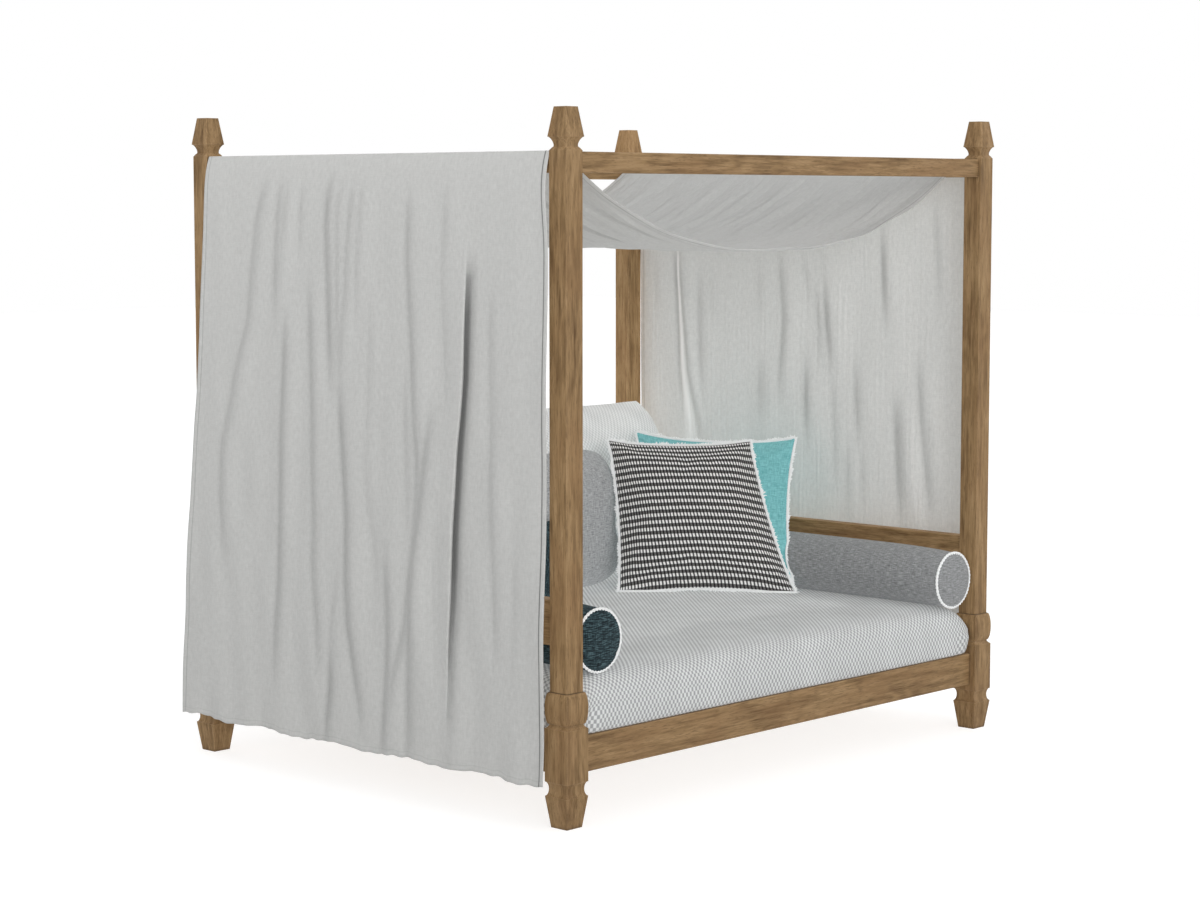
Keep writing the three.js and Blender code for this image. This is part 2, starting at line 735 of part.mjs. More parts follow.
// Scatter pillows, each by its four corners: heights over the mattress, and shares of their
// span to the right of the right bolster's side and behind the back cushion's front
function besideBolster([shareX, shareY], z) {
  const x = rightBolsterSide + shareX * scatterPillowSpan;
  const y = backCushionFront + shareY * scatterPillowSpan;
  return new THREE.Vector3(x, y, z);
}
const pillowForm = {
  drawnShare: 0.05,
  roundShare: 0,
  powers: [2, 2],
  pinch: 0.62,
  cells: [12, 12],
  spreads: [0.8, 0.8],
};
const checkPillow = spannedCushion({
  ...pillowForm,
  frontBulge: checkPillowThickness * frontFillShare,
  backBulge: checkPillowThickness * (1 - frontFillShare),
  baseLeft: besideBolster([-0.782, -0.508], cushionFoot),
  baseRight: besideBolster([-0.045, -1.3], cushionFoot),
  topLeft: besideBolster([-0.552, -0.215], cushionFoot + checkPillowRise),
  topRight: besideBolster([0.045, -0.865], cushionFoot + checkPillowRise),
});
const tealPillow = spannedCushion({
  ...pillowForm,
  drawnShare: 0.08,
  frontBulge: tealPillowThickness * (1 - frontFillShare),
  backBulge: tealPillowThickness * frontFillShare,
  baseLeft: besideBolster([-0.353, -0.282], cushionFoot),
  baseRight: besideBolster([-0.013, -1.257], cushionFoot),
  topLeft: besideBolster([-0.138, -0.065], cushionFoot + tealPillowRise),
  topRight: besideBolster([0.237, -1.068], cushionFoot + tealPillowRise),
});
const checkSolid = toSolid(checkPillow).subtract(overBed).subtract(rightBolsterRoom);
const tealSolid = toSolid(tealPillow).subtract(overBed).subtract(rightBolsterRoom);
placeWhere('check_pillow', toGeometry(checkSolid), checkCloth);
placeWhere('teal_pillow', toGeometry(tealSolid), tealCloth);

// Navy lumbar pillow that leans on the grey cushion
const navyPillow = standingCushion({
  ...pillowForm,
  width: navyPillowWidth,
  height: navyPillowHeight,
  thickness: navyPillowThickness,
  middleX: greyCushionX - navyPillowShift,
  middleY: greyCushionY - (greyCushionThickness + navyPillowThickness) / 2 - softGap,
  leanDegrees: navyLeanDegrees,
});
placeWhere('navy_pillow', toGeometry(toSolid(navyPillow).subtract(overBed)), navyCloth);

// A thin closed sheet over a grid of places (s, t), each from 0 to 1
function clothGeometry(columns, rows, pointAt, thickness) {
  const step = 1 / 1000;
  const points = [];
  const faces = [];
  for (const side of [1, -1]) {
    for (let j = 0; j <= rows; j += 1) {
      for (let i = 0; i <= columns; i += 1) {
        const s = i / columns;
        const t = j / rows;
        const across = pointAt(s + step, t).sub(pointAt(s - step, t));
        const along = pointAt(s, t + step).sub(pointAt(s, t - step));
        const normal = new THREE.Vector3().crossVectors(across, along).normalize();
        points.push(pointAt(s, t).addScaledVector(normal, (side * thickness) / 2));
      }
    }
  }
  const stride = columns + 1;
  const under = stride * (rows + 1);
  for (let j = 0; j < rows; j += 1) {
    for (let i = 0; i < columns; i += 1) {
      const a = j * stride + i;
      const c = a + stride + 1;
      faces.push([a, a + 1, c], [a, c, c - 1]);
      faces.push([under + a, under + c, under + a + 1], [under + a, under + c - 1, under + c]);
    }
  }
  const rim = [];
  for (let i = 0; i < columns; i += 1) rim.push(i);
  for (let j = 0; j < rows; j += 1) rim.push(j * stride + columns);
  for (let i = columns; i > 0; i -= 1) rim.push(rows * stride + i);
  for (let j = rows; j > 0; j -= 1) rim.push(j * stride);
  rim.forEach((a, index) => {
    const b = rim[(index + 1) % rim.length];
    faces.push([a, under + a, under + b], [a, under + b, b]);
  });
  return fromFaces(points, faces);
}

// Where the cloth runs over a top rail: flat on top, then round its outer edge
const clothOffset = touchGap + clothThickness / 2;
const clothTop = topRailTop + clothOffset;
const railHalf = topRailThickness / 2;
const bendRadius = railChamfer + clothOffset;
const bendLength = (bendRadius * Math.PI) / 2;
const topRun = railHalf - railChamfer - touchGap / 2;
const hangOut = railHalf + clothOffset;
const dropLength = topRailTop - railChamfer - curtainHem;
const settleLength = topRailHeight; // the cloth comes clear of the posts over the rail's height

// Distance out from the rail's middle, and height, at a length along the cloth
function curtainSection(length) {
  if (length < topRun) return [touchGap / 2 + length, clothTop];
  const round = length - topRun;
  if (round < bendLength) {
    const angle = round / bendRadius;
    const out = railHalf - railChamfer + bendRadius * Math.sin(angle);
    return [out, topRailTop - railChamfer + bendRadius * Math.cos(angle)];
  }
  const drop = round - bendLength;
  const settled = 1 - Math.exp(-drop / settleLength);
  const standOff = shaftWidth / 2 + curtainStandOff - hangOut;
  const flare = (curtainFlare * drop) / dropLength;
  return [hangOut + standOff * settled + flare, topRailTop - railChamfer - drop];
}

// The height of the folds at a place across the cloth and a share of the drop.
// Each fold wanders from one place across to another, and starts some way down.
function foldHeight(folds, across, down) {
  let height = 0;
  for (const [topShare, footShare, widthShare, startShare, depthShare] of folds) {
    const centre = topShare + (footShare - topShare) * down;
    const reach = (across - centre) / widthShare;
    const grown = THREE.MathUtils.smoothstep(down, startShare, 1);
    height += curtainFoldDepth * depthShare * grown * Math.exp(-reach * reach);
  }
  return height;
}

// Rows of a curtain: few on the rail, then evenly down the drop
const railRows = 4;
function curtainLength(t, rows) {
  const row = t * rows;
  const overRail = topRun + bendLength;
  if (row < 1) return row * topRun;
  if (row < railRows) return topRun + (bendLength * (row - 1)) / (railRows - 1);
  return overRail + (dropLength * (row - railRows)) / (rows - railRows);
}

function curtain(sideX, shape) {
  const { columns, rows, backFlare, frontFlare, folds } = shape;
  const halfWidth = (postSpacingY - shaftWidth) / 2 - curtainEdgeGap;
  const pointAt = (s, t) => {
    const length = curtainLength(t, rows);
    const [out, z] = curtainSection(length);
    const drop = Math.max(0, length - topRun - bendLength);
    const down = drop / dropLength;
    const spread = THREE.MathUtils.smoothstep(down, edgeFlareShare, 1);
    const back = halfWidth + backFlare * spread;
    const front = -halfWidth - frontFlare * spread;
    const ripple = hemRipple * down ** 4 * Math.sin(s * rippleTurns * 2 * Math.PI);
    const y = back + (front - back) * s;
    const x = sideX * (legX + out + foldHeight(folds, s, down));
    return new THREE.Vector3(x, y, z + ripple);
  };
  const flip = (s) => (sideX < 0 ? 1 - s : s);
  return clothGeometry(columns, rows, (s, t) => pointAt(flip(s), t), clothThickness);
}

// Folds by shares: place across at the top and at the foot, width, start down the drop, depth
const leftFoldShares = [
  [0.3, 0.26, 0.045, 0.1, 0.83],
  [0.42, 0.47, 0.05, 0, 0.94],
  [0.62, 0.6, 0.045, 0.2, 1],
  [0.72, 0.7, 0.04, 0.05, 0.83],
  [0.86, 0.86, 0.06, 0.1, 0.67],
  [0.14, 0.1, 0.06, 0.2, 0.61],
];
const rightFoldShares = [
  [0.11, 0.16, 0.05, 0, 0.83],
  [0.3, 0.31, 0.05, 0.1, 0.61],
  [0.47, 0.46, 0.045, 0, 0.72],
  [0.64, 0.65, 0.05, 0.15, 0.67],
  [0.84, 0.83, 0.05, 0.1, 0.72],
];
const leftCurtain = curtain(-1, {
  columns: 30,
  rows: 14,
  backFlare: curtainBackFlare,
  frontFlare: curtainFrontFlare,
  folds: leftFoldShares,
});
const rightCurtain = curtain(1, {
  columns: 24,
  rows: 14,
  backFlare: rightCurtainFlare,
  frontFlare: rightCurtainFlare,
  folds: rightFoldShares,
});
placeWhere('curtain_left', leftCurtain, linen);
placeWhere('curtain_right', rightCurtain, linen);

// Canopy: lies on the inner half of both side rails and sags between them.
// Its curve is flat at the bottom and nearly straight where it climbs to the rails.
const canopyRows = 8;
const canopyColumns = 26;
const bendColumns = 2;
function softRamp(share) {
  return Math.log(1 + Math.exp((share - flatShare) / easeShare));
}
function riseShare(share) {
  return (softRamp(share) - softRamp(0)) / (softRamp(1) - softRamp(0));
}
const leaveAngle = THREE.MathUtils.degToRad(canopyLeaveDegrees);
const leaveX = legX - railHalf + railChamfer - bendRadius * Math.sin(leaveAngle);
const leaveZ = topRailTop - railChamfer + bendRadius * Math.cos(leaveAngle);

// Distance from the middle, and height, at a share of the way from rail to rail
function canopySection(s) {
  const column = Math.min(s, 1 - s) * canopyColumns;
  if (column < 1) return [legX - touchGap / 2 - column * topRun, clothTop];
  const onBend = (column - 1) / bendColumns;
  if (onBend < 1) {
    const reach = legX - railHalf + railChamfer - bendRadius * Math.sin(onBend * leaveAngle);
    return [reach, topRailTop - railChamfer + bendRadius * Math.cos(onBend * leaveAngle)];
  }
  const share = 1 - (column - 1 - bendColumns) / (canopyColumns / 2 - 1 - bendColumns);
  return [share * leaveX, leaveZ - canopySag * (1 - riseShare(share))];
}
const canopyHalfWidth = (postSpacingY - shaftWidth) / 2 - canopyEdgeSetback;

function canopyPoint(s, t) {
  const [reach, z] = canopySection(s);
  const slack = THREE.MathUtils.smoothstep(Math.min(s, 1 - s), slackShare, 1 / 2);
  const swell = canopySwell * slack * Math.cos(canopyWaves * 2 * Math.PI * (t - 1 / 2));
  const y = canopyHalfWidth * (2 * t - 1);
  return new THREE.Vector3(s < 1 / 2 ? -reach : reach, y, z + swell);
}
placeWhere('canopy', clothGeometry(canopyColumns, canopyRows, canopyPoint, clothThickness), linen);

export default group;
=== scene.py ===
"""Looks of the outdoor daybed with a sling canopy, side curtains and loose cushions.

Metres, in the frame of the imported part: +Z up, +X along the front, +Y to the back.
"""
from functools import reduce
import math

import bpy
import numpy as np
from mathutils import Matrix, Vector
from mathutils.bvhtree import BVHTree


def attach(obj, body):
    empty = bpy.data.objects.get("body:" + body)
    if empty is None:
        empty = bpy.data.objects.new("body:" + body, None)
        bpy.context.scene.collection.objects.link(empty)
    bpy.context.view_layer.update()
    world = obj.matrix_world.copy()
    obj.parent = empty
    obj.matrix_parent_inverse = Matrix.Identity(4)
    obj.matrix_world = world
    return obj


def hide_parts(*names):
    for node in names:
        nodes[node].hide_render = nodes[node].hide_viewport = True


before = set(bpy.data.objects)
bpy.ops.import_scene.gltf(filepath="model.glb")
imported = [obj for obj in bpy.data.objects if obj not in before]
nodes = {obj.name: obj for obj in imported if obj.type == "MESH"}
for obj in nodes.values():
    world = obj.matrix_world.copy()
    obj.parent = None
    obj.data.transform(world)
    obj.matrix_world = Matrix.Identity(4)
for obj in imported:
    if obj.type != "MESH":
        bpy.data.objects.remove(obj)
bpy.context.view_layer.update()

scene = bpy.context.scene

# -------- sizes of the part
LEG_X = 1.022
TOP_RAIL_HALF = 0.025
RAIL_CHAMFER = 0.002
RAIL_TOP = 1.972
CLOTH_OFFSET = 0.0018
MATTRESS_MIDDLE = 0.3523
MATTRESS_HALF = (0.976, 0.840, 0.086)
CUSHION_FOOT = 0.4363
BOLSTER_Z = 0.5383
BOLSTER_RADIUS = 0.100
BOLSTER_END = 0.0935
BOLSTER_LENGTH = 1.240
BOLSTER_DOME = 0.010
BOLSTERS = {"bolster_left": (-.860, -.182), "bolster_right": (.883, -.218)}  # x, middle y


# -------- small tools
def ease(x, low, high):
    share = np.clip((x - low) / (high - low), 0, 1)
    return share * share * (3 - 2 * share)


def between(x, low, high, fall, end):
    """0 at low, 1 from high to fall, and 0 again at end."""
    return ease(x, low, high) * (1 - ease(x, fall, end))


def unit(vectors):
    return vectors / np.linalg.norm(vectors, axis=-1, keepdims=True)


def square_to(along, vectors):
    """Unit vectors without their share along others."""
    return unit(vectors - (vectors * along).sum(1, keepdims=True) * along)


def joined(*parts):
    return np.concatenate(parts)


def running(steps):
    return joined([0], np.cumsum(steps))


def run_along(points):
    """The distance to each point along a line."""
    return running(np.linalg.norm(np.diff(points, axis=0), axis=1))


def waves(rng, across, along, count, across_range, along_range):
    """Soft noise: a sum of sines with wavelengths in the given ranges."""
    total = np.zeros(np.broadcast(across, along).shape)
    for _ in range(count):
        k_across = math.tau / rng.uniform(*across_range)
        k_along = math.tau / rng.uniform(*along_range)
        turn = rng.uniform(0, math.tau, 2)
        total += np.sin(k_across * across + turn[0] + 1.5 * np.sin(k_along * along + turn[1]))
    return total / math.sqrt(count)


def grid_of(columns, rows):
    """The quads of a grid of points, and the points round its edge in order."""
    grid = np.arange((columns + 1) * (rows + 1)).reshape(rows + 1, columns + 1)
    quads = np.stack([grid[:-1, :-1], grid[:-1, 1:], grid[1:, 1:], grid[1:, :-1]], axis=2)
    rim = joined(grid[0, :-1], grid[:-1, -1], grid[-1, :0:-1], grid[:0:-1, 0])
    return quads.reshape(-1, 4), rim


def ring_faces(rings, sides, closed=False):
    """Quads from each ring of points to the next, and to the first if closed."""
    k = np.arange(sides)
    n = np.roll(k, -1)
    ring = np.arange(rings if closed else rings - 1)[:, None] * sides
    after = (ring + sides) % (rings * sides)
    return np.stack([ring + k, ring + n, after + n, after + k], axis=2).reshape(-1, 4)


def flat_weave(across, along):
    """Places along a cloth, from a grid of distances across it and one of those along it."""
    return np.stack([across, along, np.zeros_like(across)], axis=2).reshape(-1, 3)


def placed(name, data):
    made = bpy.data.objects.new(name, data)
    scene.collection.objects.link(made)
    return made


def make_mesh(name, points, faces, weave=None, crease=None):
    """A smooth piece, with places measured along its cloth, and its crease value: painted shade in
    creases, a painted highlight below zero.
    """
    mesh = bpy.data.meshes.new(name)
    mesh.from_pydata(points.tolist(), [], faces.tolist() if hasattr(faces, "tolist") else faces)
    for key, kind, part, values in (("weave", "FLOAT_VECTOR", "vector", weave),
                                    ("crease", "FLOAT", "value", crease)):
        if values is not None:
            layer = mesh.attributes.new(key, kind, "POINT")
            layer.data.foreach_set(part, values.astype(np.float32).ravel())
    mesh.shade_smooth()
    return placed(name, mesh)


def points_of(piece):
    places = np.zeros(len(piece.data.vertices) * 3, np.float32)
    piece.data.vertices.foreach_get("co", places)
    return places.reshape(-1, 3).astype(float)


def put_points(piece, places):
    piece.data.vertices.foreach_set("co", places.astype(np.float32).ravel())
    piece.data.update()


def subdivide(piece):
    """Subdivides a piece once and keeps the result."""
    piece.modifiers.new("smooth", "SUBSURF").levels = 1
    bpy.context.view_layer.update()
    evaluated = piece.evaluated_get(bpy.context.evaluated_depsgraph_get())
    mesh = bpy.data.meshes.new_from_object(evaluated)
    piece.modifiers.clear()
    piece.data = mesh
    mesh.shade_smooth()


def finish_piece(piece, material, stands_for=None):
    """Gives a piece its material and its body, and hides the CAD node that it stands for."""
    piece.data.materials.append(material)
    if stands_for:
        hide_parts(stands_for)
    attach(piece, "root")


# -------- materials
class Nodes:
    """A node tree in the making. Each method adds nodes and gives the socket they end in."""

    def __init__(self, tree):
        self.tree = tree

    def put(self, socket, value):
        if isinstance(value, bpy.types.NodeSocket):
            self.tree.links.new(value, socket)
        else:
            socket.default_value = value

    def add(self, kind, inputs, output=0, **settings):
        node = self.tree.nodes.new("ShaderNode" + kind)
        for key, value in settings.items():
            setattr(node, key, value)
        for key, value in inputs.items():
            self.put(node.inputs[key], value)
        return node.outputs[output]

    def math(self, operation, *values):
        return self.add("Math", dict(enumerate(values)), operation=operation)

    def mul(self, a, b):
        return self.math("MULTIPLY", a, b)

    def sum_of(self, *parts):
        """The sum of values, each times its weight."""
        parts = [self.mul(value, weight) for value, weight in parts]
        return reduce(lambda total, part: self.math("ADD", total, part), parts)

    def vectors(self, operation, a, b, output=0):
        return self.add("VectorMath", {0: a, 1: b}, output, operation=operation)

    def axis(self, place, index):
        return self.add("SeparateXYZ", {0: place}, index)

    def span(self, value, from_low, from_high, to_low=0.0, to_high=1.0, smooth=False):
        kind = "SMOOTHSTEP" if smooth else "LINEAR"
        inputs = {0: value, 1: from_low, 2: from_high, 3: to_low, 4: to_high}
        return self.add("MapRange", inputs, interpolation_type=kind)

    def seen(self):
        """1 where the camera or a mirroring surface looks, and 0 for all other light."""
        rays = self.tree.nodes.new("ShaderNodeLightPath").outputs
        return self.math("MAXIMUM", rays["Is Camera Ray"], rays["Is Glossy Ray"])


class Material(Nodes):
    """A material in the making, built round its main shader."""

    def __init__(self, name, roughness=0.9):
        self.made = bpy.data.materials.new(name)
        self.made.use_nodes = True
        super().__init__(self.made.node_tree)
        self.shader = self.tree.nodes["Principled BSDF"].inputs
        self.shade("Roughness", roughness)
        self.shade("Specular IOR Level", 0.18)

    def shade(self, name, value):
        self.put(self.shader[name], value)

    def noise(self, place, scale, detail=2.0, rough=0.5, shift=(0, 0, 0), output=0):
        """Noise with one scale, or one for each axis."""
        if isinstance(scale, tuple):
            place = self.add("Mapping", {"Vector": place, "Scale": scale, "Location": shift})
            scale = 1.0
        inputs = {"Vector": place, "Scale": scale, "Detail": detail, "Roughness": rough}
        return self.add("TexNoise", inputs, output)

    def mix(self, share, a, b, blend="MIX"):
        return self.add("Mix", {0: share, 6: a, 7: b}, 2, data_type="RGBA", blend_type=blend)

    def times(self, base, value):
        grey = self.add("CombineColor", {0: value, 1: value, 2: value})
        return self.mix(1.0, base, grey, "MULTIPLY")

    def ramp(self, value, stops):
        node = self.tree.nodes.new("ShaderNodeValToRGB")
        elements = node.color_ramp.elements
        while len(elements) < len(stops):
            elements.new(0.5)
        for element, (place, colour) in zip(elements, stops):
            element.position = place
            element.color = (*colour, 1)
        self.put(node.inputs[0], value)
        return node.outputs[0]

    def object_place(self):
        return self.add("TexCoord", {}, 3)

    def weave_place(self):
        return self.add("Attribute", {}, 1, attribute_name="weave")

    def bent(self, place, scale, most):
        """The place, moved a little by noise, so that no weave is too straight."""
        wobble = self.noise(place, scale, 1.0, output=1)
        return self.vectors("ADD", place, self.vectors("MULTIPLY", wobble, most))

    def threads(self, place, pitch, pitch_down=None):
        """Height of a plain weave with its pitches in metres: over and under, both ways."""
        sines = [self.math("SINE", self.mul(self.axis(place, index), math.tau / step))
                 for index, step in enumerate((pitch, pitch_down or pitch))]
        return self.math("MULTIPLY", *sines)

    def finish(self, colour, height, strength=0.5, distance=0.0012, sheen=0.0):
        """Links the colour and the bump, and gives the finished material."""
        bump = self.add("Bump", {"Height": height, "Strength": strength, "Distance": distance})
        self.shade("Base Color", colour)
        self.shade("Normal", bump)
        self.shade("Sheen Weight", sheen)
        return self.made


WOOD_DARK = (0.102, 0.056, 0.023)
WOOD_MID = (0.252, 0.157, 0.072)
WOOD_LIGHT = (0.363, 0.237, 0.120)
WOOD_WARM = (0.240, 0.138, 0.062, 1)
# Colour of the paler rounded edges: wear, and partly a painted highlight
WOOD_PALE_EDGE = (0.400, 0.280, 0.160, 1)
# Colour of the painted shade in joints and crevices
WOOD_JOINT_SHADE = (0.045, 0.026, 0.013, 1)
WOOD_SEAM = (0.03, 0.018, 0.01, 1)
# Reach and strength of the paler edges (wear and painted highlight)
PALE_EDGE_REACH, PALE_EDGE_MOST = 0.003, 0.5
# Reach and strength of the painted shade in joints and crevices
JOINT_SHADE_REACH, JOINT_SHADE_MOST = 0.014, 0.75
SEAM_HEIGHT = 0.40215  # of the line where leg and post meet
# Painted shade: the timber darkens towards the floor over this height
FLOOR_SHADE_REACH = 0.45
FLOOR_SHADE_FOOT = 0.86  # brightness of the timber at the floor


def wood(name, axis, shift, painted_brightness=1.0):
    """Oiled hardwood with its grain along an axis: paler on rounded edges (wear and a painted
    highlight), darker at the seam, with painted shade in joints and crevices and towards the
    floor; painted_brightness lightens it all as painted light."""
    m = Material(name, 0.62)
    place = m.object_place()

    def grain(across, along, detail=3.0, rough=0.6):
        scale = tuple(along if letter == axis else across for letter in "xyz")
        return m.noise(place, scale, detail, rough, (shift, shift * 0.7, shift * 1.3))

    broad, streak, fine = grain(20, 2.6), grain(75, 4.5, 4.0, 0.65), grain(260, 13)
    fleck, pores, cloud = grain(150, 13, 2.0), grain(420, 30, 2.0), grain(9, 4.2, rough=0.55)
    bands = m.math("SINE", m.mul(grain(7, 1.5, 2.0, 0.5), 62.0))
    tone = m.sum_of((broad, 0.30), (streak, 0.40), (fine, 0.30), (bands, 0.028))
    base = m.ramp(tone, [(0.37, WOOD_DARK), (0.50, WOOD_MID), (0.635, WOOD_LIGHT)])
    base = m.mix(m.span(cloud, 0.42, 0.66, 0.0, 0.42, smooth=True), base, WOOD_WARM)
    fleck_share = m.span(fleck, 0.57, 0.70, 0.0, 0.26, smooth=True)
    pore_share = m.span(pores, 0.55, 0.70, 0.0, 0.66, smooth=True)
    base = m.mix(m.math("MAXIMUM", fleck_share, pore_share), base, (*WOOD_DARK, 1))
    # paler on rounded edges: wear and a painted highlight
    rounded, facing = m.add("Bevel", {0: PALE_EDGE_REACH}, samples=4), m.add("NewGeometry", {}, 1)
    flat_share = m.vectors("DOT_PRODUCT", rounded, facing, 1)
    base = m.mix(m.span(flat_share, 0.97, 0.80, 0.0, PALE_EDGE_MOST), base, WOOD_PALE_EDGE)
    # painted shade in joints and crevices, from ambient occlusion
    open_share = m.add("AmbientOcclusion", {"Distance": JOINT_SHADE_REACH}, 1, samples=6)
    base = m.mix(m.span(open_share, 0.85, 0.25, 0.0, JOINT_SHADE_MOST), base, WOOD_JOINT_SHADE)
    height = m.axis(place, 2)
    # painted shade towards the floor, times the painted brightness
    base = m.times(base, m.span(height, 0.0, FLOOR_SHADE_REACH, painted_brightness * FLOOR_SHADE_FOOT, painted_brightness))
    from_seam = m.math("ABSOLUTE", m.math("SUBTRACT", height, SEAM_HEIGHT))
    base = m.mix(m.span(from_seam, 0.0005, 0.0016, 0.6, 0.0), base, WOOD_SEAM)
    m.shade("Roughness", m.span(streak, 0.3, 0.7, 0.7, 0.56))
    relief = m.math("SUBTRACT", m.mul(fine, 0.6), pore_share)
    return m.finish(base, relief, 0.25, 0.0006)


def brushed_steel():
    m = Material("steel_brushed", 0.35)
    m.shade("Metallic", 1.0)
    lines = m.noise(m.object_place(), (900, 900, 30))
    colour = m.ramp(lines, [(0.3, (0.42, 0.43, 0.44)), (0.7, (0.62, 0.63, 0.64))])
    return m.finish(colour, lines, 0.1, 0.0002)


LINEN_PALE = (0.612, 0.614, 0.600)
LINEN_DEEP = (0.508, 0.510, 0.498)
# Colour of the painted highlight on the right curtain's lit fold
LINEN_LIT = (0.98, 0.98, 0.97, 1)
LINEN_SEAM = (0.09, 0.09, 0.088, 1)
LINEN_PITCH = 0.0024


def linen(name, hem_lines, brightness=1.0, foot_shade=1.0):
    """Loose linen with slubs both ways, with painted shade in its creases and towards its foot, and
    a painted highlight where the crease value is below zero; brightness is painted light as well.
    Hem lines are (axis, place, half width, darkness), in metres."""
    m = Material(name)
    place = m.weave_place()
    tone = m.sum_of((m.noise(place, (300, 30, 1), 3.0, 0.6), 0.34),
                    (m.noise(place, (30, 300, 1), 3.0, 0.6), 0.26),
                    (m.noise(place, (75, 50, 1), 3.0, 0.7), 0.40))
    base = m.ramp(tone, [(0.36, LINEN_DEEP), (0.64, LINEN_PALE)])
    for axis, at, half_width, darkness in hem_lines:
        distance = m.math("ABSOLUTE", m.math("SUBTRACT", m.axis(place, axis), at))
        line = m.span(distance, half_width * 0.4, half_width * 1.6, darkness, 0.0)
        base = m.mix(line, base, LINEN_SEAM)
    crease = m.add("Attribute", {}, 2, attribute_name="crease")
    # painted shade from the crease value, scaled by the painted brightness
    shade = m.ramp(crease, [(at, (grey,) * 3) for at, grey in (
        (0.0, brightness), (0.6, brightness * .70), (1.0, .05))])
    base = m.mix(1.0, base, shade, "MULTIPLY")
    # painted shade towards the foot, and painted light towards the head
    if foot_shade < 1:
        head_shade = 2 - foot_shade ** 0.3
        base = m.times(base, m.span(m.axis(place, 1), 0.15, 1.85, head_shade, foot_shade))
    # painted highlight where the crease value is below zero
    base = m.mix(m.span(crease, 0.0, -1.0, 0.0, 1.0), base, LINEN_LIT)
    height = m.math("ADD", m.mul(m.threads(place, LINEN_PITCH), 0.25), tone)
    return m.finish(base, height, sheen=0.15)


LATTICE_CELL, LATTICE_CELL_DOWN = 0.0088, 0.0102


def lattice(name, deep, pale):
    """Thick basket weave: pale and grey cells turn about."""
    m = Material(name)
    place = m.bent(m.weave_place(), 60.0, (0.0016, 0.0016, 0))
    checks = m.threads(place, 2 * LATTICE_CELL, 2 * LATTICE_CELL_DOWN)
    share = m.span(checks, -0.32, 0.32, smooth=True)
    base = m.mix(share, (*deep, 1), (*pale, 1))
    base = m.times(base, m.span(m.noise(place, 9.0, 3.0), 0.3, 0.7, 0.95, 1.05))
    threads = m.threads(place, LATTICE_CELL / 3)
    height = m.math("ADD", share, m.mul(threads, 0.2))
    return m.finish(base, height, sheen=0.1)


def heather(name, deep, mid, pale, pitch, sheen=0.10, down_share=0.5, spread=0.10):
    """Heathered upholstery: flecked threads across and along."""
    m = Material(name, 0.92)
    place = m.weave_place()
    close, far = 0.9 / pitch, 0.10 / pitch
    tone = m.sum_of((m.noise(place, (close, far, 1), 2.0, 0.65), down_share),
                    (m.noise(place, (far, close, 1), 2.0, 0.65), 1 - down_share))
    base = m.ramp(tone, [(0.5 - spread, deep), (0.5, mid), (0.5 + spread, pale)])
    height = m.math("ADD", tone, m.mul(m.threads(place, pitch), 0.3))
    return m.finish(base, height, 0.6, 0.0014, sheen)


OVAL_SLANT = 0.15  # columns over which the ovals lean in a row


def oval_check(name, across, down):
    """Rows of slanting pale ovals, with dark bands between the rows."""
    m = Material(name, 0.92)
    place = m.bent(m.weave_place(), 45.0, (0.0020, 0.0030, 0))
    u, v = m.axis(place, 0), m.axis(place, 1)
    slant = m.mul(v, OVAL_SLANT * math.tau / down)
    column = m.math("SINE", m.math("ADD", m.mul(u, math.tau / across), slant))
    row = m.math("SINE", m.mul(v, math.tau / down))
    in_column = m.span(column, -0.50, 0.35, smooth=True)
    in_row = m.span(row, -0.28, 0.42, smooth=True)
    oval = m.mul(in_row, m.math("MULTIPLY_ADD", in_column, 0.90, 0.10))
    fibre = m.noise(place, 700.0)
    pale = m.ramp(fibre, [(0.3, (0.72, 0.71, 0.70)), (0.7, (0.94, 0.93, 0.92))])
    deep = m.ramp(fibre, [(0.3, (0.008, 0.008, 0.009)), (0.7, (0.024, 0.023, 0.023))])
    band = m.mix(in_column, deep, (0.120, 0.116, 0.113, 1))
    height = m.math("ADD", m.mul(fibre, 0.4), oval)
    return m.finish(m.mix(oval, band, pale), height, sheen=0.1)


def twisted_yarn():
    m = Material("yarn_white")
    fibre = m.noise(m.object_place(), 900.0, 3.0, 0.6)
    colour = m.ramp(fibre, [(0.3, (0.80, 0.81, 0.81)), (0.7, (0.94, 0.95, 0.95))])
    return m.finish(colour, fibre, 0.5, 0.001, sheen=0.2)


WOOD_VARIANTS = 4
WOODS = {(axis, k): wood(f"timber_{axis}_{k}", axis, 3.7 * k + 0.9)
         for axis in "xyz" for k in range(WOOD_VARIANTS)}
# A lighter copy of the timber: painted light for the back right post, which lies in shade
LIT_BOARD = wood("timber_z_lit", "z", 17.3, 1.28)
STEEL = brushed_steel()


def wood_axis(name):
    if name.startswith(("leg", "post")):
        return "z"
    return "y" if name.startswith("slat") or name.endswith(("_left", "_right", "_long")) else "x"


SOFT_NODES = """mattress back_cushion grey_cushion bolster_left bolster_right check_pillow
teal_pillow navy_pillow curtain_left curtain_right canopy""".split()
SHARP_ANGLE = math.radians(30)
for index, (name, node) in enumerate(sorted(nodes.items())):
    if name in SOFT_NODES:
        continue
    material = WOODS[wood_axis(name), index % WOOD_VARIANTS]
    if name.startswith("stud"):
        material = STEEL
    # the back right post takes the painted-light copy of the timber
    elif name == "post_back_right":
        material = LIT_BOARD
    node.data.materials.clear()
    node.data.materials.append(material)
    node.data.shade_smooth()
    node.data.set_sharp_from_angle(angle=SHARP_ANGLE)


# -------- curtains
def table(text):
    """The rows of a table that is written in thousandths."""
    return [[float(number) / 1000 for number in row.split()] for row in text.strip().splitlines()]


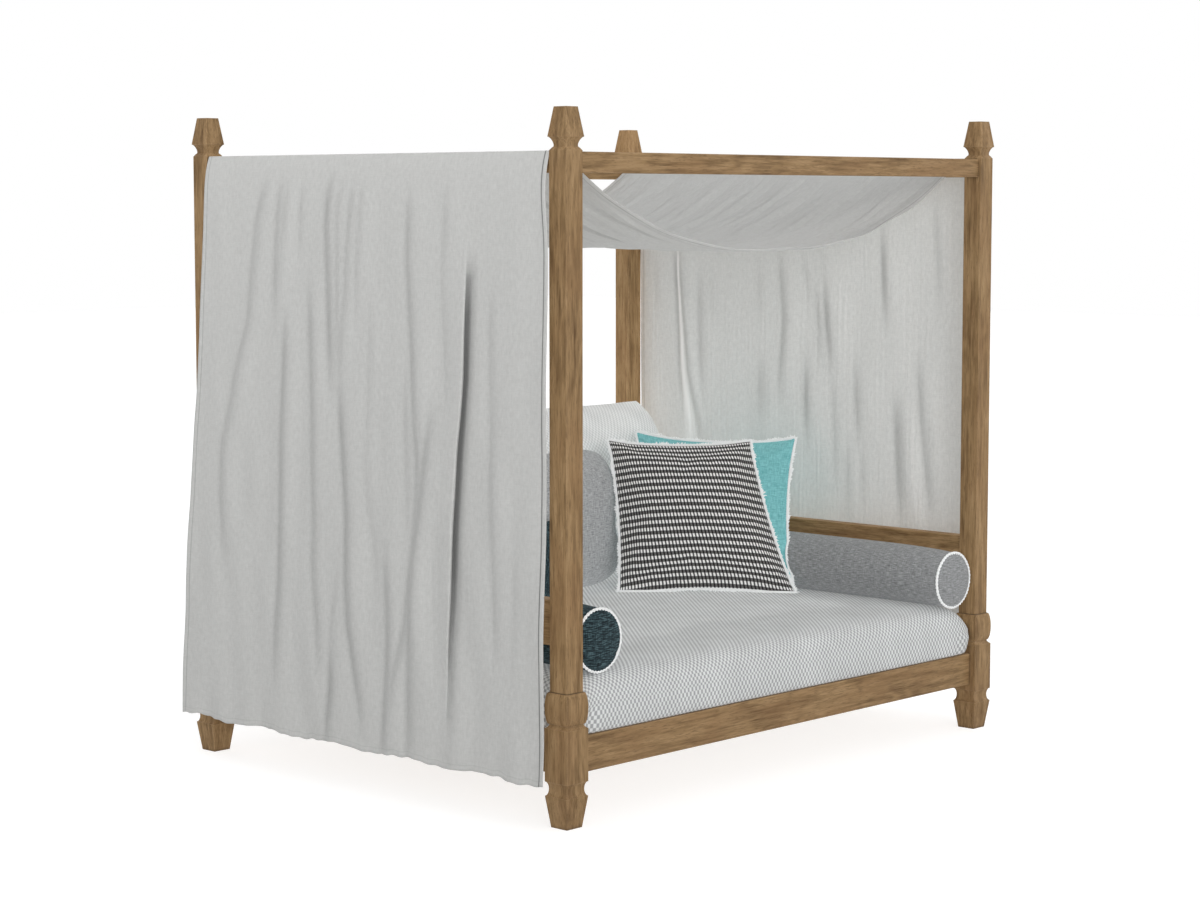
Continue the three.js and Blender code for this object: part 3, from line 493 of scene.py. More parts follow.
# Each fold, in thousandths: strength, widths of its steep and its gentle side (0 for the usual
# one), and the line of its groove, with y and z by turns, from its top down
LEFT_FOLDS = table("""
250 29 0 -560 1550 -565 1000 -575 800 -590 500
150 26 0 -370 1900 -350 1600 -370 1300
450 29 0 -205 1850 -200 1650 -225 1350 -250 1050 -250 950 -235 800 -200 550 -160 380 -150 330
500 31 0 -310 1200 -270 950 -235 750 -225 600 -215 350 -215 130
200 26 0 0 1950 25 1650 30 1500
300 26 0 40 1950 70 1700 75 1550 105 1300
250 22 0 50 1980 90 1930 115 1800 110 1350
550 29 0 110 1980 145 1930 165 1850 170 1750 155 1450 150 1300
600 31 0 108 1250 90 1050 72 850 70 700 60 500 20 320 5 250
450 29 0 250 1550 235 1200 225 850 230 700 205 450 200 380
550 31 0 365 1450 380 1100 385 800 400 550 415 350
350 29 0 385 1980 405 1750 420 1500
200 26 0 350 1950 385 1620
200 26 0 280 1950 300 1700
350 36 0 450 1950 510 1770 550 1450 620 1250 680 1050 690 950 680 700
700 31 0 150 420 150 300 160 130
200 26 0 120 650 150 420
500 31 0 -110 750 -125 500 -110 300 -95 130
200 26 0 -190 1300 -210 850
150 26 0 -40 1500 -20 1000 -60 700
150 26 0 -670 800 -665 450
""")
RIGHT_FOLDS = table("""
800 50 28 620 1650 610 1500 600 1200 585 1050
700 20 16 592 1640 572 1400 550 1200 512 970
400 29 0 500 1550 495 1150
250 26 0 205 1600 205 1420
600 29 0 105 1630 85 1400 110 1150
300 24 0 0 1650 -30 1500
300 24 0 -85 1650 -100 1580
450 26 0 -65 1520 -80 1300
800 26 0 -105 1540 -130 1270
450 50 0 205 1240 205 1070
700 26 0 -15 1240 -15 1000
500 26 0 -240 1250 -255 990
300 26 0 -265 1200 -270 1100
800 26 0 -365 1720 -378 1440
600 50 0 -420 1120 -440 750
500 29 0 -520 1260 -545 1000 -575 750
350 26 0 -595 1820 -615 1500
300 26 0 -620 1700 -625 1600
250 26 0 -140 1200 -150 850
300 26 0 -210 950 -210 750
300 26 0 -275 950 -275 750
250 26 0 -570 1100 -580 900
200 26 0 720 1600 720 1450
150 26 0 440 1550 440 1400
""")
FOLD_SLOPE = 0.40  # height of a fold of strength 1 over the width of its steep side
GENTLE_SIDE = 0.065
FOLD_FADE = 0.13
CREASE_BEYOND = 0.012  # how far a crease's shade reaches behind its groove
# The right curtain's fold with a painted highlight, as if it caught the light: (y, z, half width)
LIT_FOLD = [(.602, 1.66, .004), (.592, 1.45, .010), (.575, 1.2, .019), (.552, 1.0, .026),
            (.54, .85, .026)]
# The left curtain's fold that laps over the cloth in front of it: (y, z) down its edge
LAP_LINE = [(-.465, 1.74), (-.46, 1.62), (-.445, 1.3), (-.425, 1.1), (-.41, .9),
            (-.40, .7), (-.392, .5), (-.385, .3), (-.385, .14)]
LAP_OPENING = (0.15, 0.70, 1.28, 1.73)  # heights where it opens and closes
LAP_OVER, LAP_UNDER = 0.013, 0.004  # how far its edge moves over, and the cloth below it under
LAP_HEIGHT, LAP_DEPTH = 0.010, 0.010
LAP_TURN, LAP_REACH = 0.0040, 0.055
# Painted shade inside the lapped fold: where it lies ahead of its edge, and how dark at each height
LAP_INSIDE = (-0.003, 0.001, 0.013, 0.060)  # where it is dark inside, ahead of its edge
LAP_DARKNESS = ((.15, .45, .75, 1.5, 1.7), (0, .66, .86, .86, .6))  # heights, and how dark there
LAP_CROWD = 0.03  # share of the width within which the mesh is finer


def line_at(line, z):
    """The y at which a line of (y, z) points, given from its top down, has the height z."""
    return np.interp(z, [p[1] for p in line][::-1], [p[0] for p in line][::-1])


def fold_height(folds, y, z):
    """Rolls of cloth: each rises gently from the front, then turns down into a crease behind it.
    Gives their height, and how deep in a crease a place lies, which sets the painted shade there."""
    height, deep = np.zeros_like(y), np.zeros_like(y)
    for strength, steep, gentle_side, *line in folds:
        line = list(zip(line[::2], line[1::2]))
        foot, head = line[-1][1], line[0][1]
        shown = between(z, foot - FOLD_FADE, foot + FOLD_FADE,
                        head - FOLD_FADE, head + 0.6 * FOLD_FADE)
        ahead = line_at(line, z) - y
        roll = 1 - (1 - np.clip(ahead / steep, 0, 1)) ** 1.8
        gentle_side = gentle_side or GENTLE_SIDE * (0.5 + 0.5 * strength)
        gentle = np.maximum(ahead - steep, 0) / gentle_side
        high = (0.2 + 0.8 * strength) * FOLD_SLOPE * steep
        height += high * shown * roll * np.exp(-gentle ** 2)
        reach = np.where(ahead > 0, ahead / steep, ahead / CREASE_BEYOND)
        deep = np.maximum(deep, strength * shown * np.exp(-reach ** 2))
    return height, deep


def lap_over(y, z):
    """How the lapped fold moves the cloth along y and outwards, and the painted shade inside it."""
    ahead = line_at(LAP_LINE, z) - y
    opening = between(z, *LAP_OPENING)
    share = opening * np.exp(-(ahead / LAP_REACH) ** 2)
    turn = np.tanh(ahead / LAP_TURN)
    along = share * ((LAP_OVER - LAP_UNDER) - (LAP_OVER + LAP_UNDER) * turn) / 2
    outward = share * (LAP_HEIGHT * (1 - turn) - LAP_DEPTH * (1 + turn)) / 2
    dark = np.interp(z, *LAP_DARKNESS) * between(ahead, *LAP_INSIDE)
    return -along, outward, dark * ease(opening, 0.0, 0.20)


# Share of the painted highlight along the lit fold
def lit_share(y, z):
    line_y, line_z, half = (np.array(part)[::-1] for part in zip(*LIT_FOLD))
    share = np.exp(-((y - np.interp(z, line_z, line_y)) / np.interp(z, line_z, half)) ** 2)
    return share * between(z, .80, 1.10, 1.60, 1.68)


BEND_RADIUS = RAIL_CHAMFER + CLOTH_OFFSET
BEND_LENGTH = BEND_RADIUS * math.pi / 2
MEETING_GAP = 0.00015  # from the middle of a side rail to a cloth's end
TOP_RUN = TOP_RAIL_HALF - RAIL_CHAMFER - MEETING_GAP
HEM_BOTTOM = 0.128
DROP_LENGTH = RAIL_TOP - RAIL_CHAMFER - HEM_BOTTOM
CURTAIN_LENGTH = TOP_RUN + BEND_LENGTH + DROP_LENGTH
CURTAIN_HALF = 0.776
CURTAIN_CUT = 1.66
CLOTH_HALF = 0.001
STAND_OFF, STAND_OFF_REACH = 0.0222, 0.061  # how far it hangs outside the rail, and how soon
FOOT_OUT = 0.026  # how much further out its foot hangs
EARLY_FLARE = 0.019  # most of the front flare that is there near the top
HEM_WIDTH, HEM_RELIEF = 0.017, 0.0012
FINE_DROP_POWER = 1.05
RAIL_COLUMNS, BEND_COLUMNS = 5, 7


def thick_sheet(name, x, y, z, across, along, near_painted_shading, far_painted_shading):
    """A closed sheet from grids of its places, a little cloth thickness to either side, with
    painted shading on either face.
    """
    middle = np.stack([x, y, z], axis=2)
    normal = unit(np.cross(np.gradient(middle, axis=1), np.gradient(middle, axis=0)))
    half = normal * CLOTH_HALF
    places = np.stack([middle + half, middle - half]).reshape(-1, 3)
    front, rim = grid_of(x.shape[1] - 1, x.shape[0] - 1)
    after = np.roll(rim, -1)
    walls = np.stack([rim, rim + x.size, after + x.size, after], axis=1)
    faces = joined(front, front[:, ::-1] + x.size, walls)
    weave = flat_weave(across, along)
    crease = np.stack([near_painted_shading, far_painted_shading])
    return make_mesh(name, places, faces, joined(weave, weave), crease)


def curtain(name, side, folds, shade, back_flare, back_reach, front_flare, fine_depth, seed):
    """A curtain that lies on a side rail's outer half and hangs outside the posts."""
    columns, drop_rows = 320, 210
    lengths = joined(
        np.linspace(0, TOP_RUN, RAIL_COLUMNS)[:-1],
        np.linspace(TOP_RUN, TOP_RUN + BEND_LENGTH, BEND_COLUMNS)[:-1],
        TOP_RUN + BEND_LENGTH + DROP_LENGTH * np.linspace(0, 1, drop_rows + 1) ** FINE_DROP_POWER,
    )
    rows = len(lengths) - 1
    s, length = np.meshgrid(np.linspace(0, 1, columns + 1), lengths)
    turn = np.clip(length - TOP_RUN, 0, BEND_LENGTH) / BEND_RADIUS
    drop = np.maximum(0, length - TOP_RUN - BEND_LENGTH)
    down = drop / DROP_LENGTH
    out = np.minimum(length, TOP_RUN) + MEETING_GAP + BEND_RADIUS * np.sin(turn)
    out += STAND_OFF * (1 - np.exp(-drop / STAND_OFF_REACH)) + FOOT_OUT * down
    z = RAIL_TOP - RAIL_CHAMFER + BEND_RADIUS * np.cos(turn) - drop
    early, spread = ease(drop, 0.03, 0.30), ease(down, 0.06, 1)
    early_flare = min(front_flare, EARLY_FLARE)
    back = CURTAIN_HALF + back_flare * spread + back_reach * early
    front = -CURTAIN_HALF - early_flare * early - (front_flare - early_flare) * spread
    if side < 0:
        fine_s = np.linspace(0, 1, 4001)
        for row in range(rows + 1):
            edge = line_at(LAP_LINE, z[row, 0])
            at = (back[row, 0] - edge) / (back[row, 0] - front[row, 0])
            crowded = fine_s + 3 * LAP_CROWD * np.tanh((fine_s - at) / LAP_CROWD)
            s[row] = np.interp(crowded[0] + (crowded[-1] - crowded[0]) * s[row], crowded, fine_s)
    y = back + (front - back) * s
    rng = np.random.default_rng(seed)
    loose = ease(drop, 0.012, 0.16)
    fold, deep = fold_height(folds, y, z)
    fine = fine_depth * waves(rng, y, z, 14, (.012, .03), (.4, 1.2)) * ease(drop, .05, .3)
    body = 0.0042 * waves(rng, y, z, 7, (.12, .3), (.6, 1.6)) * (0.2 + 0.8 * down)
    body += 0.0042 * (0.2 + 0.8 * down)
    hem = (s > 1 - HEM_WIDTH / CURTAIN_CUT) | (s < HEM_WIDTH / CURTAIN_CUT)
    body += HEM_RELIEF * (hem | (drop > DROP_LENGTH - HEM_WIDTH))
    # painted shade in the creases and inside the lapped fold, weaker on one face
    shaded = shade * deep * loose
    if side < 0:
        move_y, outward, inside = lap_over(y, z)
        y = y + move_y
        fold += outward
        near_shade, far_shade = np.maximum(shaded, inside), 0.4 * shaded
    else:
        # painted highlight on the lit fold, as a crease value below zero
        lit = lit_share(y, z)
        near_shade, far_shade = 0.4 * shaded, shaded * (1 - lit) - lit
    x = side * (LEG_X + out + (body + fine) * loose) - fold * loose
    z = z + 0.005 * down ** 4 * np.sin(s * 10 * math.pi)
    z += 0.0020 * down ** 6 * waves(rng, y, z, 5, (.05, .15), (3, 4))
    grids = x, y, z, (1 - s) * CURTAIN_CUT, length, near_shade, far_shade
    return thick_sheet(name, *(grid[:, ::side] for grid in grids))


CURTAIN_HEMS = [
    (0, HEM_WIDTH, .0026, .80),
    (0, CURTAIN_CUT - HEM_WIDTH, .0018, .30),
    (1, CURTAIN_LENGTH - HEM_WIDTH, .0015, .12),
]
# Each curtain: rail, flat size, its painted brightness (the right one lighter, for its shaded inner
# face), that of its foot (painted shade), and what curtain() takes
for name, rail, flat, brightness, foot_shade, *form in (
    ("curtain_left", "top_rail_left", (1.66, 1.90), .95, .88,
     -1, LEFT_FOLDS, .76, .111, 0, .020, .00024, 11),
    ("curtain_right", "top_rail_right", (1.60, 1.90), 1.25, 1.0,
     1, RIGHT_FOLDS, .74, .006, .024, .009, .0007, 12),
):
    cloth = curtain(name + "_cloth", *form)
    look = linen("linen_" + name, CURTAIN_HEMS, brightness, foot_shade)
    finish_piece(cloth, look, name)

# -------- canopy
CANOPY_SAG = 0.297
CANOPY_HALF = 0.765
# Painted shade that makes the canopy's upper face darker than its lit level
UPPER_FACE_SHADE = 0.42  # how much darker its upper face is, as a crease value
LEAVE_ANGLE = math.radians(35)  # at which it leaves the rail, under the level
EVEN_SHARE, EVEN_POWER = 0.75, 2.55  # of its curve, which otherwise bends most at SHOULDER
SHOULDER, SHOULDER_WIDTH = .42, .11
# Hem lines: narrow dark seam lines, each with a soft painted shade beside it
CANOPY_HEMS = [(0, .018, .0020, .42), (0, .034, .0080, .12), (0, 1.512, .0020, .42),
               (0, 1.496, .0080, .12)]
# Each wrinkle in mm: y, from x, to x, height
CANOPY_WRINKLES = table("""
550 450 800 4
350 500 800 5
250 420 720 4
200 550 850 3
80 450 780 5
20 500 850 4
-60 400 700 4
-110 550 850 5
-230 420 750 5
-330 500 820 4
-390 450 700 4
-620 480 800 5
-720 400 850 4
450 -800 -450 4
280 -850 -500 3
50 -800 -420 4
-150 -820 -500 3
-350 -800 -400 4
-550 -850 -450 3
660 -750 -400 3
-660 -970 -400 6
-470 -950 -350 7
-260 -950 -450 5
150 -920 -400 5
""")


def canopy():
    side_columns, rows = 124, 190
    bend_x, bend_z = LEG_X - TOP_RAIL_HALF + RAIL_CHAMFER, RAIL_TOP - RAIL_CHAMFER
    meeting_x = LEG_X - MEETING_GAP
    turn = np.linspace(0, LEAVE_ANGLE, BEND_COLUMNS)
    bend_reach = bend_x - BEND_RADIUS * np.sin(turn)
    bend_height = bend_z + BEND_RADIUS * np.cos(turn)
    leave_x, leave_z = bend_reach[-1], bend_height[-1]
    share = np.linspace(1, 0, side_columns + 1)
    rise = np.log(1 + np.exp((share - SHOULDER) / SHOULDER_WIDTH))
    rise = (rise - rise[-1]) / (rise[0] - rise[-1])
    rise = (1 - EVEN_SHARE) * rise + EVEN_SHARE * share ** EVEN_POWER
    reach = joined(np.linspace(meeting_x, meeting_x - TOP_RUN, RAIL_COLUMNS)[:-1],
                   bend_reach[:-1], share * leave_x)
    height = joined(np.full(RAIL_COLUMNS - 1, RAIL_TOP + CLOTH_OFFSET),
                    bend_height[:-1], leave_z - CANOPY_SAG * (1 - rise))
    x_line = joined(-reach, reach[-2::-1])
    z_line = joined(height, height[-2::-1])
    x, t = np.meshgrid(x_line, np.linspace(0, 1, rows + 1))
    z = np.broadcast_to(z_line, x.shape).copy()
    y = CANOPY_HALF * (2 * t - 1)
    slack = ease(leave_x - np.abs(x), 0.03, 0.5)
    z += 0.004 * slack * np.cos(3 * math.pi * (t - 0.5))
    rng = np.random.default_rng(21)
    deep = np.zeros_like(z)
    for at, start, end, high in CANOPY_WRINKLES:
        shown = between(x, start - .06, start + .08, end - .10, end + .06)
        wander = at + 0.012 * np.sin(x * 7 + at * 9)
        z += 1.5 * high * shown * np.exp(-(((y - wander) / .012) ** 2))
        # painted shade in the crease beside each wrinkle
        deep = np.maximum(deep, 60 * high * shown * np.exp(-(((y - wander - .014) / .011) ** 2)))
    free = ease(leave_x - np.abs(x), 0.01, 0.12)
    z += 0.0015 * free * waves(rng, y, x, 14, (.020, .050), (.25, .8))
    z += 0.0044 * free * waves(rng, y, x, 6, (.10, .25), (.5, 1.4))
    z += 0.0014 * free * (np.abs(y) > CANOPY_HALF - HEM_WIDTH)
    y = y * (1 - 0.006 * slack)
    y += np.where(np.abs(t - .5) > .47, 0.002 * np.sin(x * 23) * slack, 0)
    run = running(np.hypot(np.diff(x_line), np.diff(z_line)))
    return thick_sheet("canopy_cloth", x, y, z, t * 2 * CANOPY_HALF,
                       np.broadcast_to(run, x.shape), UPPER_FACE_SHADE + 0.7 * deep, deep)


canopy_cloth = canopy()
finish_piece(canopy_cloth, linen("linen_canopy", CANOPY_HEMS, 0.98), "canopy")


# -------- cushions
FINE_STEPS = 1600  # in which a curve is measured


def spaced(curve, count):
    """Places from -1 to 1 at equal steps along a curve, and their distances from the middle."""
    fine = np.sin(np.linspace(-1, 1, FINE_STEPS + 1) * math.pi / 2)
    run = run_along(curve(fine))
    at = np.linspace(0, run[-1], count + 1)
    return np.interp(at, run, fine), at - run[-1] / 2


cushions, rims = {}, {}  # the pieces, and the points of their seams
reaches = {}  # how near each point is to the seam, from 0 to 1


def add_cushion(name, front, back, columns, rows):
    """Adds a closed cushion whose two faces meet in a seam."""
    zero = np.zeros(FINE_STEPS + 1)
    u_line, u_run = spaced(lambda f: front(f, zero), columns)
    v_line, v_run = spaced(lambda f: front(zero, f), rows)
    u, v = np.meshgrid(u_line, v_line)
    weave = flat_weave(*np.meshgrid(u_run, v_run))
    near, far = (face(u.ravel(), v.ravel()) for face in (front, back))
    reach = np.maximum(np.abs(u), np.abs(v)).ravel()
    inner = reach < 1
    faces, rims[name] = grid_of(columns, rows)
    back_index = np.where(inner, u.size + np.cumsum(inner) - 1, np.arange(u.size))
    faces = joined(faces, back_index[faces[:, ::-1]])
    reaches[name] = joined(reach, reach[inner])
    cushions[name] = make_mesh(name + "_cover", joined(near, far[inner]), faces,
                               joined(weave, weave[inner]))


def fullness(u, v, powers, pinch):
    """From 0 at the seam to 1 in the middle; a third power is for the half below the middle."""
    full = (1 - np.abs(u) ** powers[0]) * (1 - np.abs(v) ** np.where(v < 0, powers[-1], powers[1]))
    return np.maximum(full, 0) ** pinch


FOOT_ROUNDING = 0.06  # of the corners that a cushion stands on, against those at its top


def spanned(corners, front_bulge, back_bulge, drawn, rounded, powers, pinch):
    """The two faces of a cushion stretched between four corners."""
    base_left, base_right, top_left, top_right = (np.array(c, float) for c in corners)
    rise = top_left + top_right - base_left - base_right
    run = base_right + top_right - base_left - top_left
    outward = unit(np.cross(run, rise))

    def face(bulge):
        def at(u, v):
            corner = rounded * np.where(v > 0, 1, FOOT_ROUNDING) * v ** 4
            s = ((1 + u * (1 - drawn * (1 - v * v)) * (1 - corner)) / 2)[:, None]
            t = ((1 + v * (1 - drawn * (1 - u * u)) * (1 - rounded * u ** 4)) / 2)[:, None]
            low = base_left + (base_right - base_left) * s
            high = top_left + (top_right - top_left) * s
            out = (bulge * fullness(u, v, powers, pinch))[:, None]
            return low + (high - low) * t + outward * out
        return at
    return face(front_bulge), face(-back_bulge)


def standing(width, height, thickness, x, y, lean, drawn, rounded, powers, pinch):
    """The two faces of a cushion that stands, with a lean in degrees."""
    shift = height / 2 * math.sin(math.radians(lean))
    top = CUSHION_FOOT + height * math.cos(math.radians(lean))
    corners = [(x + end * width / 2, y + tip * shift, CUSHION_FOOT if tip < 0 else top)
               for tip in (-1, 1) for end in (-1, 1)]
    return spanned(corners, thickness / 2, thickness / 2, drawn, rounded, powers, pinch)


MATTRESS_DOME = 0.005
CORNER_PULL = 0.003  # share by which the mattress draws in at its corners


def flat_cushion(side):
    """The mattress's upper face for side 1, its lower one for -1."""
    powers = (34, 28) if side > 0 else (70, 60)

    def at(u, v):
        dome = MATTRESS_DOME * (1 - u * u) * (1 - v * v) if side > 0 else 0
        z = side * MATTRESS_HALF[2] * fullness(u, v, powers, 0.5) + dome + MATTRESS_MIDDLE
        x = MATTRESS_HALF[0] * u * (1 - CORNER_PULL * v ** 8)
        y = MATTRESS_HALF[1] * v * (1 - CORNER_PULL * u ** 8)
        return np.stack([x, y, z], axis=1)
    return at


def bolster(name, x, y_middle):
    """A tube along Y that narrows a little to its domed ends, with its seam underneath."""
    columns, rows, cap_rings = 60, 72, 9
    half = BOLSTER_LENGTH / 2
    ring_radius = BOLSTER_END * np.sin(np.linspace(0.06, 1, cap_rings) * math.pi / 2)
    ring_y = half - BOLSTER_DOME * (ring_radius / BOLSTER_END) ** 2.5
    body_half = half - BOLSTER_DOME
    body_y = np.linspace(-body_half, body_half, rows + 1)[1:-1]
    body_y = joined([.002 - body_half], body_y, [body_half - .002])
    body_radius = BOLSTER_RADIUS - (BOLSTER_RADIUS - BOLSTER_END) * np.abs(body_y / body_half) ** 5
    line_y = joined(-ring_y, body_y, ring_y[::-1])
    line_r = joined(ring_radius, body_radius, ring_radius[::-1])
    cap_girth = np.full(cap_rings, BOLSTER_END)
    girth = joined(cap_girth, body_radius, cap_girth)
    run = running(np.hypot(np.diff(line_y), np.diff(line_r)))
    a, sy = np.meshgrid(np.linspace(0, math.tau, columns + 1)[:-1], line_y)
    sr = np.broadcast_to(line_r[:, None], a.shape)
    z_middle = BOLSTER_Z - BOLSTER_RADIUS + girth[:, None]
    places = np.stack([x - sr * np.sin(a), y_middle + sy, z_middle - sr * np.cos(a)], axis=2)
    across, along = a * BOLSTER_RADIUS, np.broadcast_to(run[:, None], a.shape).copy()
    for cap in (slice(None, cap_rings), slice(-cap_rings, None)):
        across[cap], along[cap] = (sr * np.cos(a))[cap], (sr * np.sin(a))[cap]
    faces = np.roll(ring_faces(len(line_y), columns), -1, axis=1).tolist()
    last = (len(line_y) - 1) * columns
    faces += [list(range(columns))[::-1], list(range(last, last + columns))]
    return make_mesh(name, places.reshape(-1, 3), faces, flat_weave(across, along))


add_cushion("mattress", flat_cushion(1), flat_cushion(-1), 84, 74)
for name, (x, y_middle) in BOLSTERS.items():
    cushions[name] = bolster(name + "_cover", x, y_middle)
add_cushion("back_cushion", *standing(
    1.944, .660, .262, .012, .660, 2, 0, .06, (30, 3.2, 9), .55), 116, 52)
add_cushion("grey_cushion", *standing(
    .712, .522, .190, .176, .4335, 2, .01, .16, (4.6, 2.8, 10), .55), 56, 46)
PILLOW = ((2, 2), .62)
add_cushion("navy_pillow", *standing(.500, .300, .110, -.100, .283, 6, .05, 0, *PILLOW), 46, 30)
add_cushion("teal_pillow", *spanned(
    [(.5712, .3598, CUSHION_FOOT), (.7752, -.2252, CUSHION_FOOT),
     (.7002, .4900, .9863), (.9252, -.1118, .9863)], .0391, .0759, .08, 0, *PILLOW), 50, 46)
add_cushion("check_pillow", *spanned(
    [(.3138, .2242, CUSHION_FOOT), (.7560, -.2510, CUSHION_FOOT),
     (.4518, .4000, .9743), (.8100, .0100, .9743)], .0858, .0442, .05, 0, *PILLOW), 50, 46)

NAVY = heather("navy_heather", (.005, .010, .013), (.014, .028, .034), (.072, .122, .136),
               .0031, .01, .72)
# Each cushion: its material, slot and fill, then the share by which it starts smaller when it is
# simulated, the slack of its cloth, and its most movement
COVERS = {
    "mattress": (lattice("lattice_weave", (.325, .334, .339), (.668, .680, .680)),
                 "lattice_cloth", .9, 0, -.006, .005),
    # a paler copy of the mattress's lattice: partly painted light for the shade it lies in
    "back_cushion": (lattice("lattice_weave_back_lit", (.665, .673, .673), (.850, .860, .858)),
                     "lattice_cloth", .8, .012, -.030, .024),
    "grey_cushion": (heather("grey_heather", (.21, .216, .219), (.385, .393, .400),
                             (.58, .59, .596), .0026, spread=.13),
                     "grey_cloth", .7, .012, -.035, .020),
    "navy_pillow": (NAVY, "navy_cloth", .6, .015, -.045, .012),
    "check_pillow": (oval_check("check_weave", .0119, .0254),
                     "check_cloth", .7, .015, -.045, .014),
    "teal_pillow": (heather("teal_plain", (.140, .405, .423), (.203, .510, .528),
                            (.272, .610, .628), .0026),
                    "teal_cloth", .7, .015, -.045, .014),
    "bolster_right": (heather("grey_heather_deep", (.125, .129, .132), (.255, .261, .265),
                              (.42, .428, .433), .0025, .10, .66, .17),
                      "grey_cloth", .9, .010, -.012, .006),
    "bolster_left": (NAVY, "navy_cloth", .9, .010, -.012, .006),
}
CLOTH_SETTINGS = dict(
    quality=5, mass=0.3, tension_stiffness=15, compression_stiffness=15, shear_stiffness=5,
    bending_stiffness=0.3, use_pressure=True, uniform_pressure_force=4)
SIM_FRAMES = 20
SEAM_HOLD = 0.6  # share by which a seam moves less than other cloth
FOOT_RISE = 0.07  # over this height a cushion's movement up or down fades out at its foot


def simulate():
    """Blows up every cushion a little as cloth, all in one run, and keeps the result."""
    starts = {}
    for name, (*_, smaller, slack, _) in COVERS.items():
        piece = cushions[name]
        places = points_of(piece)
        starts[name] = places
        middle = (places.min(0) + places.max(0)) / 2
        put_points(piece, middle + (places - middle) * (1 - smaller))
        settings = piece.modifiers.new("cloth", "CLOTH").settings
        for key, value in CLOTH_SETTINGS.items():
            setattr(settings, key, value)
        settings.shrink_min = slack
        settings.effector_weights.gravity = 0
    scene.frame_start, scene.frame_end = 1, SIM_FRAMES
    for step in range(1, SIM_FRAMES + 1):
        scene.frame_set(step)
    depsgraph = bpy.context.evaluated_depsgraph_get()
    results = {name: points_of(cushions[name].evaluated_get(depsgraph)) for name in COVERS}
    for name, places in results.items():
        cushions[name].modifiers.clear()
        moved = places - starts[name]
        over_foot = starts[name][:, 2] - starts[name][:, 2].min()
        moved[:, 2] *= ease(over_foot, 0, FOOT_RISE)
        if name in reaches:
            moved *= 1 - SEAM_HOLD * reaches[name][:, None] ** 12
        far = np.linalg.norm(moved, axis=1, keepdims=True) + 1e-9
        cap = COVERS[name][-1]
        put_points(cushions[name], starts[name] + moved / far * cap * np.tanh(far / cap))
    scene.frame_set(1)


simulate()

for piece in cushions.values():
    subdivide(piece)

# The mattress lies pressed flat on the rails, with sharper edges below than above
PRESSED_HEIGHT, PRESSED_POWER = 0.028, 2.6
places = points_of(cushions["mattress"])
mattress_foot = MATTRESS_MIDDLE - MATTRESS_HALF[2]
over_rail = np.clip((places[:, 2] - mattress_foot) / PRESSED_HEIGHT, 0, 1)
places[:, 2] -= PRESSED_HEIGHT * (over_rail - over_rail ** PRESSED_POWER)
places[:, 2] = np.maximum(places[:, 2], mattress_foot)
below_seam = ease(MATTRESS_MIDDLE - places[:, 2], 0, .03)
for axis in (0, 1):
    inset = np.maximum(MATTRESS_HALF[axis] - np.abs(places[:, axis]), 0)
    sharper = inset * (0.35 + 0.65 * ease(inset, .02, .08))
    places[:, axis] += np.sign(places[:, axis]) * below_seam * (inset - sharper)
put_points(cushions["mattress"], places)

SOFT_GAP = 0.0008
NEAR = 0.01  # how far outside a neighbour's box points are looked at
# The neighbours that each cushion is moved clear of, in this order
TOUCHES = {
    "bolster_left": "mattress",
    "bolster_right": "mattress",
    "back_cushion": "mattress bolster_left bolster_right",
    "grey_cushion": "mattress back_cushion",
    "teal_pillow": "mattress bolster_right back_cushion grey_cushion",
    "check_pillow": "mattress bolster_right teal_pillow grey_cushion",
    "navy_pillow": "mattress grey_cushion",
}
for name, neighbours in TOUCHES.items():
    places = points_of(cushions[name])
    for other in neighbours.split():
        tree = BVHTree.FromPolygons([v.co for v in cushions[other].data.vertices],
                                    [p.vertices for p in cushions[other].data.polygons])
        other_places = points_of(cushions[other])
        low, high = other_places.min(0) - NEAR, other_places.max(0) + NEAR
        for k in np.where(((places > low) & (places < high)).all(1))[0]:
            spot, normal, _, _ = tree.find_nearest(places[k].tolist())
            spot, normal = np.array(spot), np.array(normal)
            if (places[k] - spot) @ normal < SOFT_GAP:
                places[k] = spot + normal * SOFT_GAP
    put_points(cushions[name], places)

for name, (material, slot, fill, *_) in COVERS.items():
    finish_piece(cushions[name], material, name)

# -------- trims
YARN = twisted_yarn()


def rope(name, path, rope_radius, strand_radius, pitch, strands=3, sides=6):
    """A closed twisted rope of strands wound round a closed path of points."""
    count = len(path)
    tangent = unit(np.roll(path, -1, axis=0) - np.roll(path, 1, axis=0))
    run = run_along(path)
    whole = run[-1] + np.linalg.norm(path[0] - path[-1])
    turns = max(1, round(whole / pitch))
    side = square_to(tangent, path - path.mean(0))
    up = np.cross(tangent, side)
    places, faces = [], []
    for strand in range(strands):
        phase = math.tau * (turns * run / whole + strand / strands)
        lean = np.cos(phase)[:, None] * side + np.sin(phase)[:, None] * up
        core = path + lean * (rope_radius - strand_radius)
        step = unit(np.roll(core, -1, axis=0) - np.roll(core, 1, axis=0))
        a = square_to(step, lean)
        b = np.cross(step, a)
        for k in range(sides):
            turn = math.tau * k / sides
            places.append(core + strand_radius * (math.cos(turn) * a + math.sin(turn) * b))
        faces.append(ring_faces(sides, count, closed=True) + strand * sides * count)
    return make_mesh(name, joined(*places), joined(*faces))


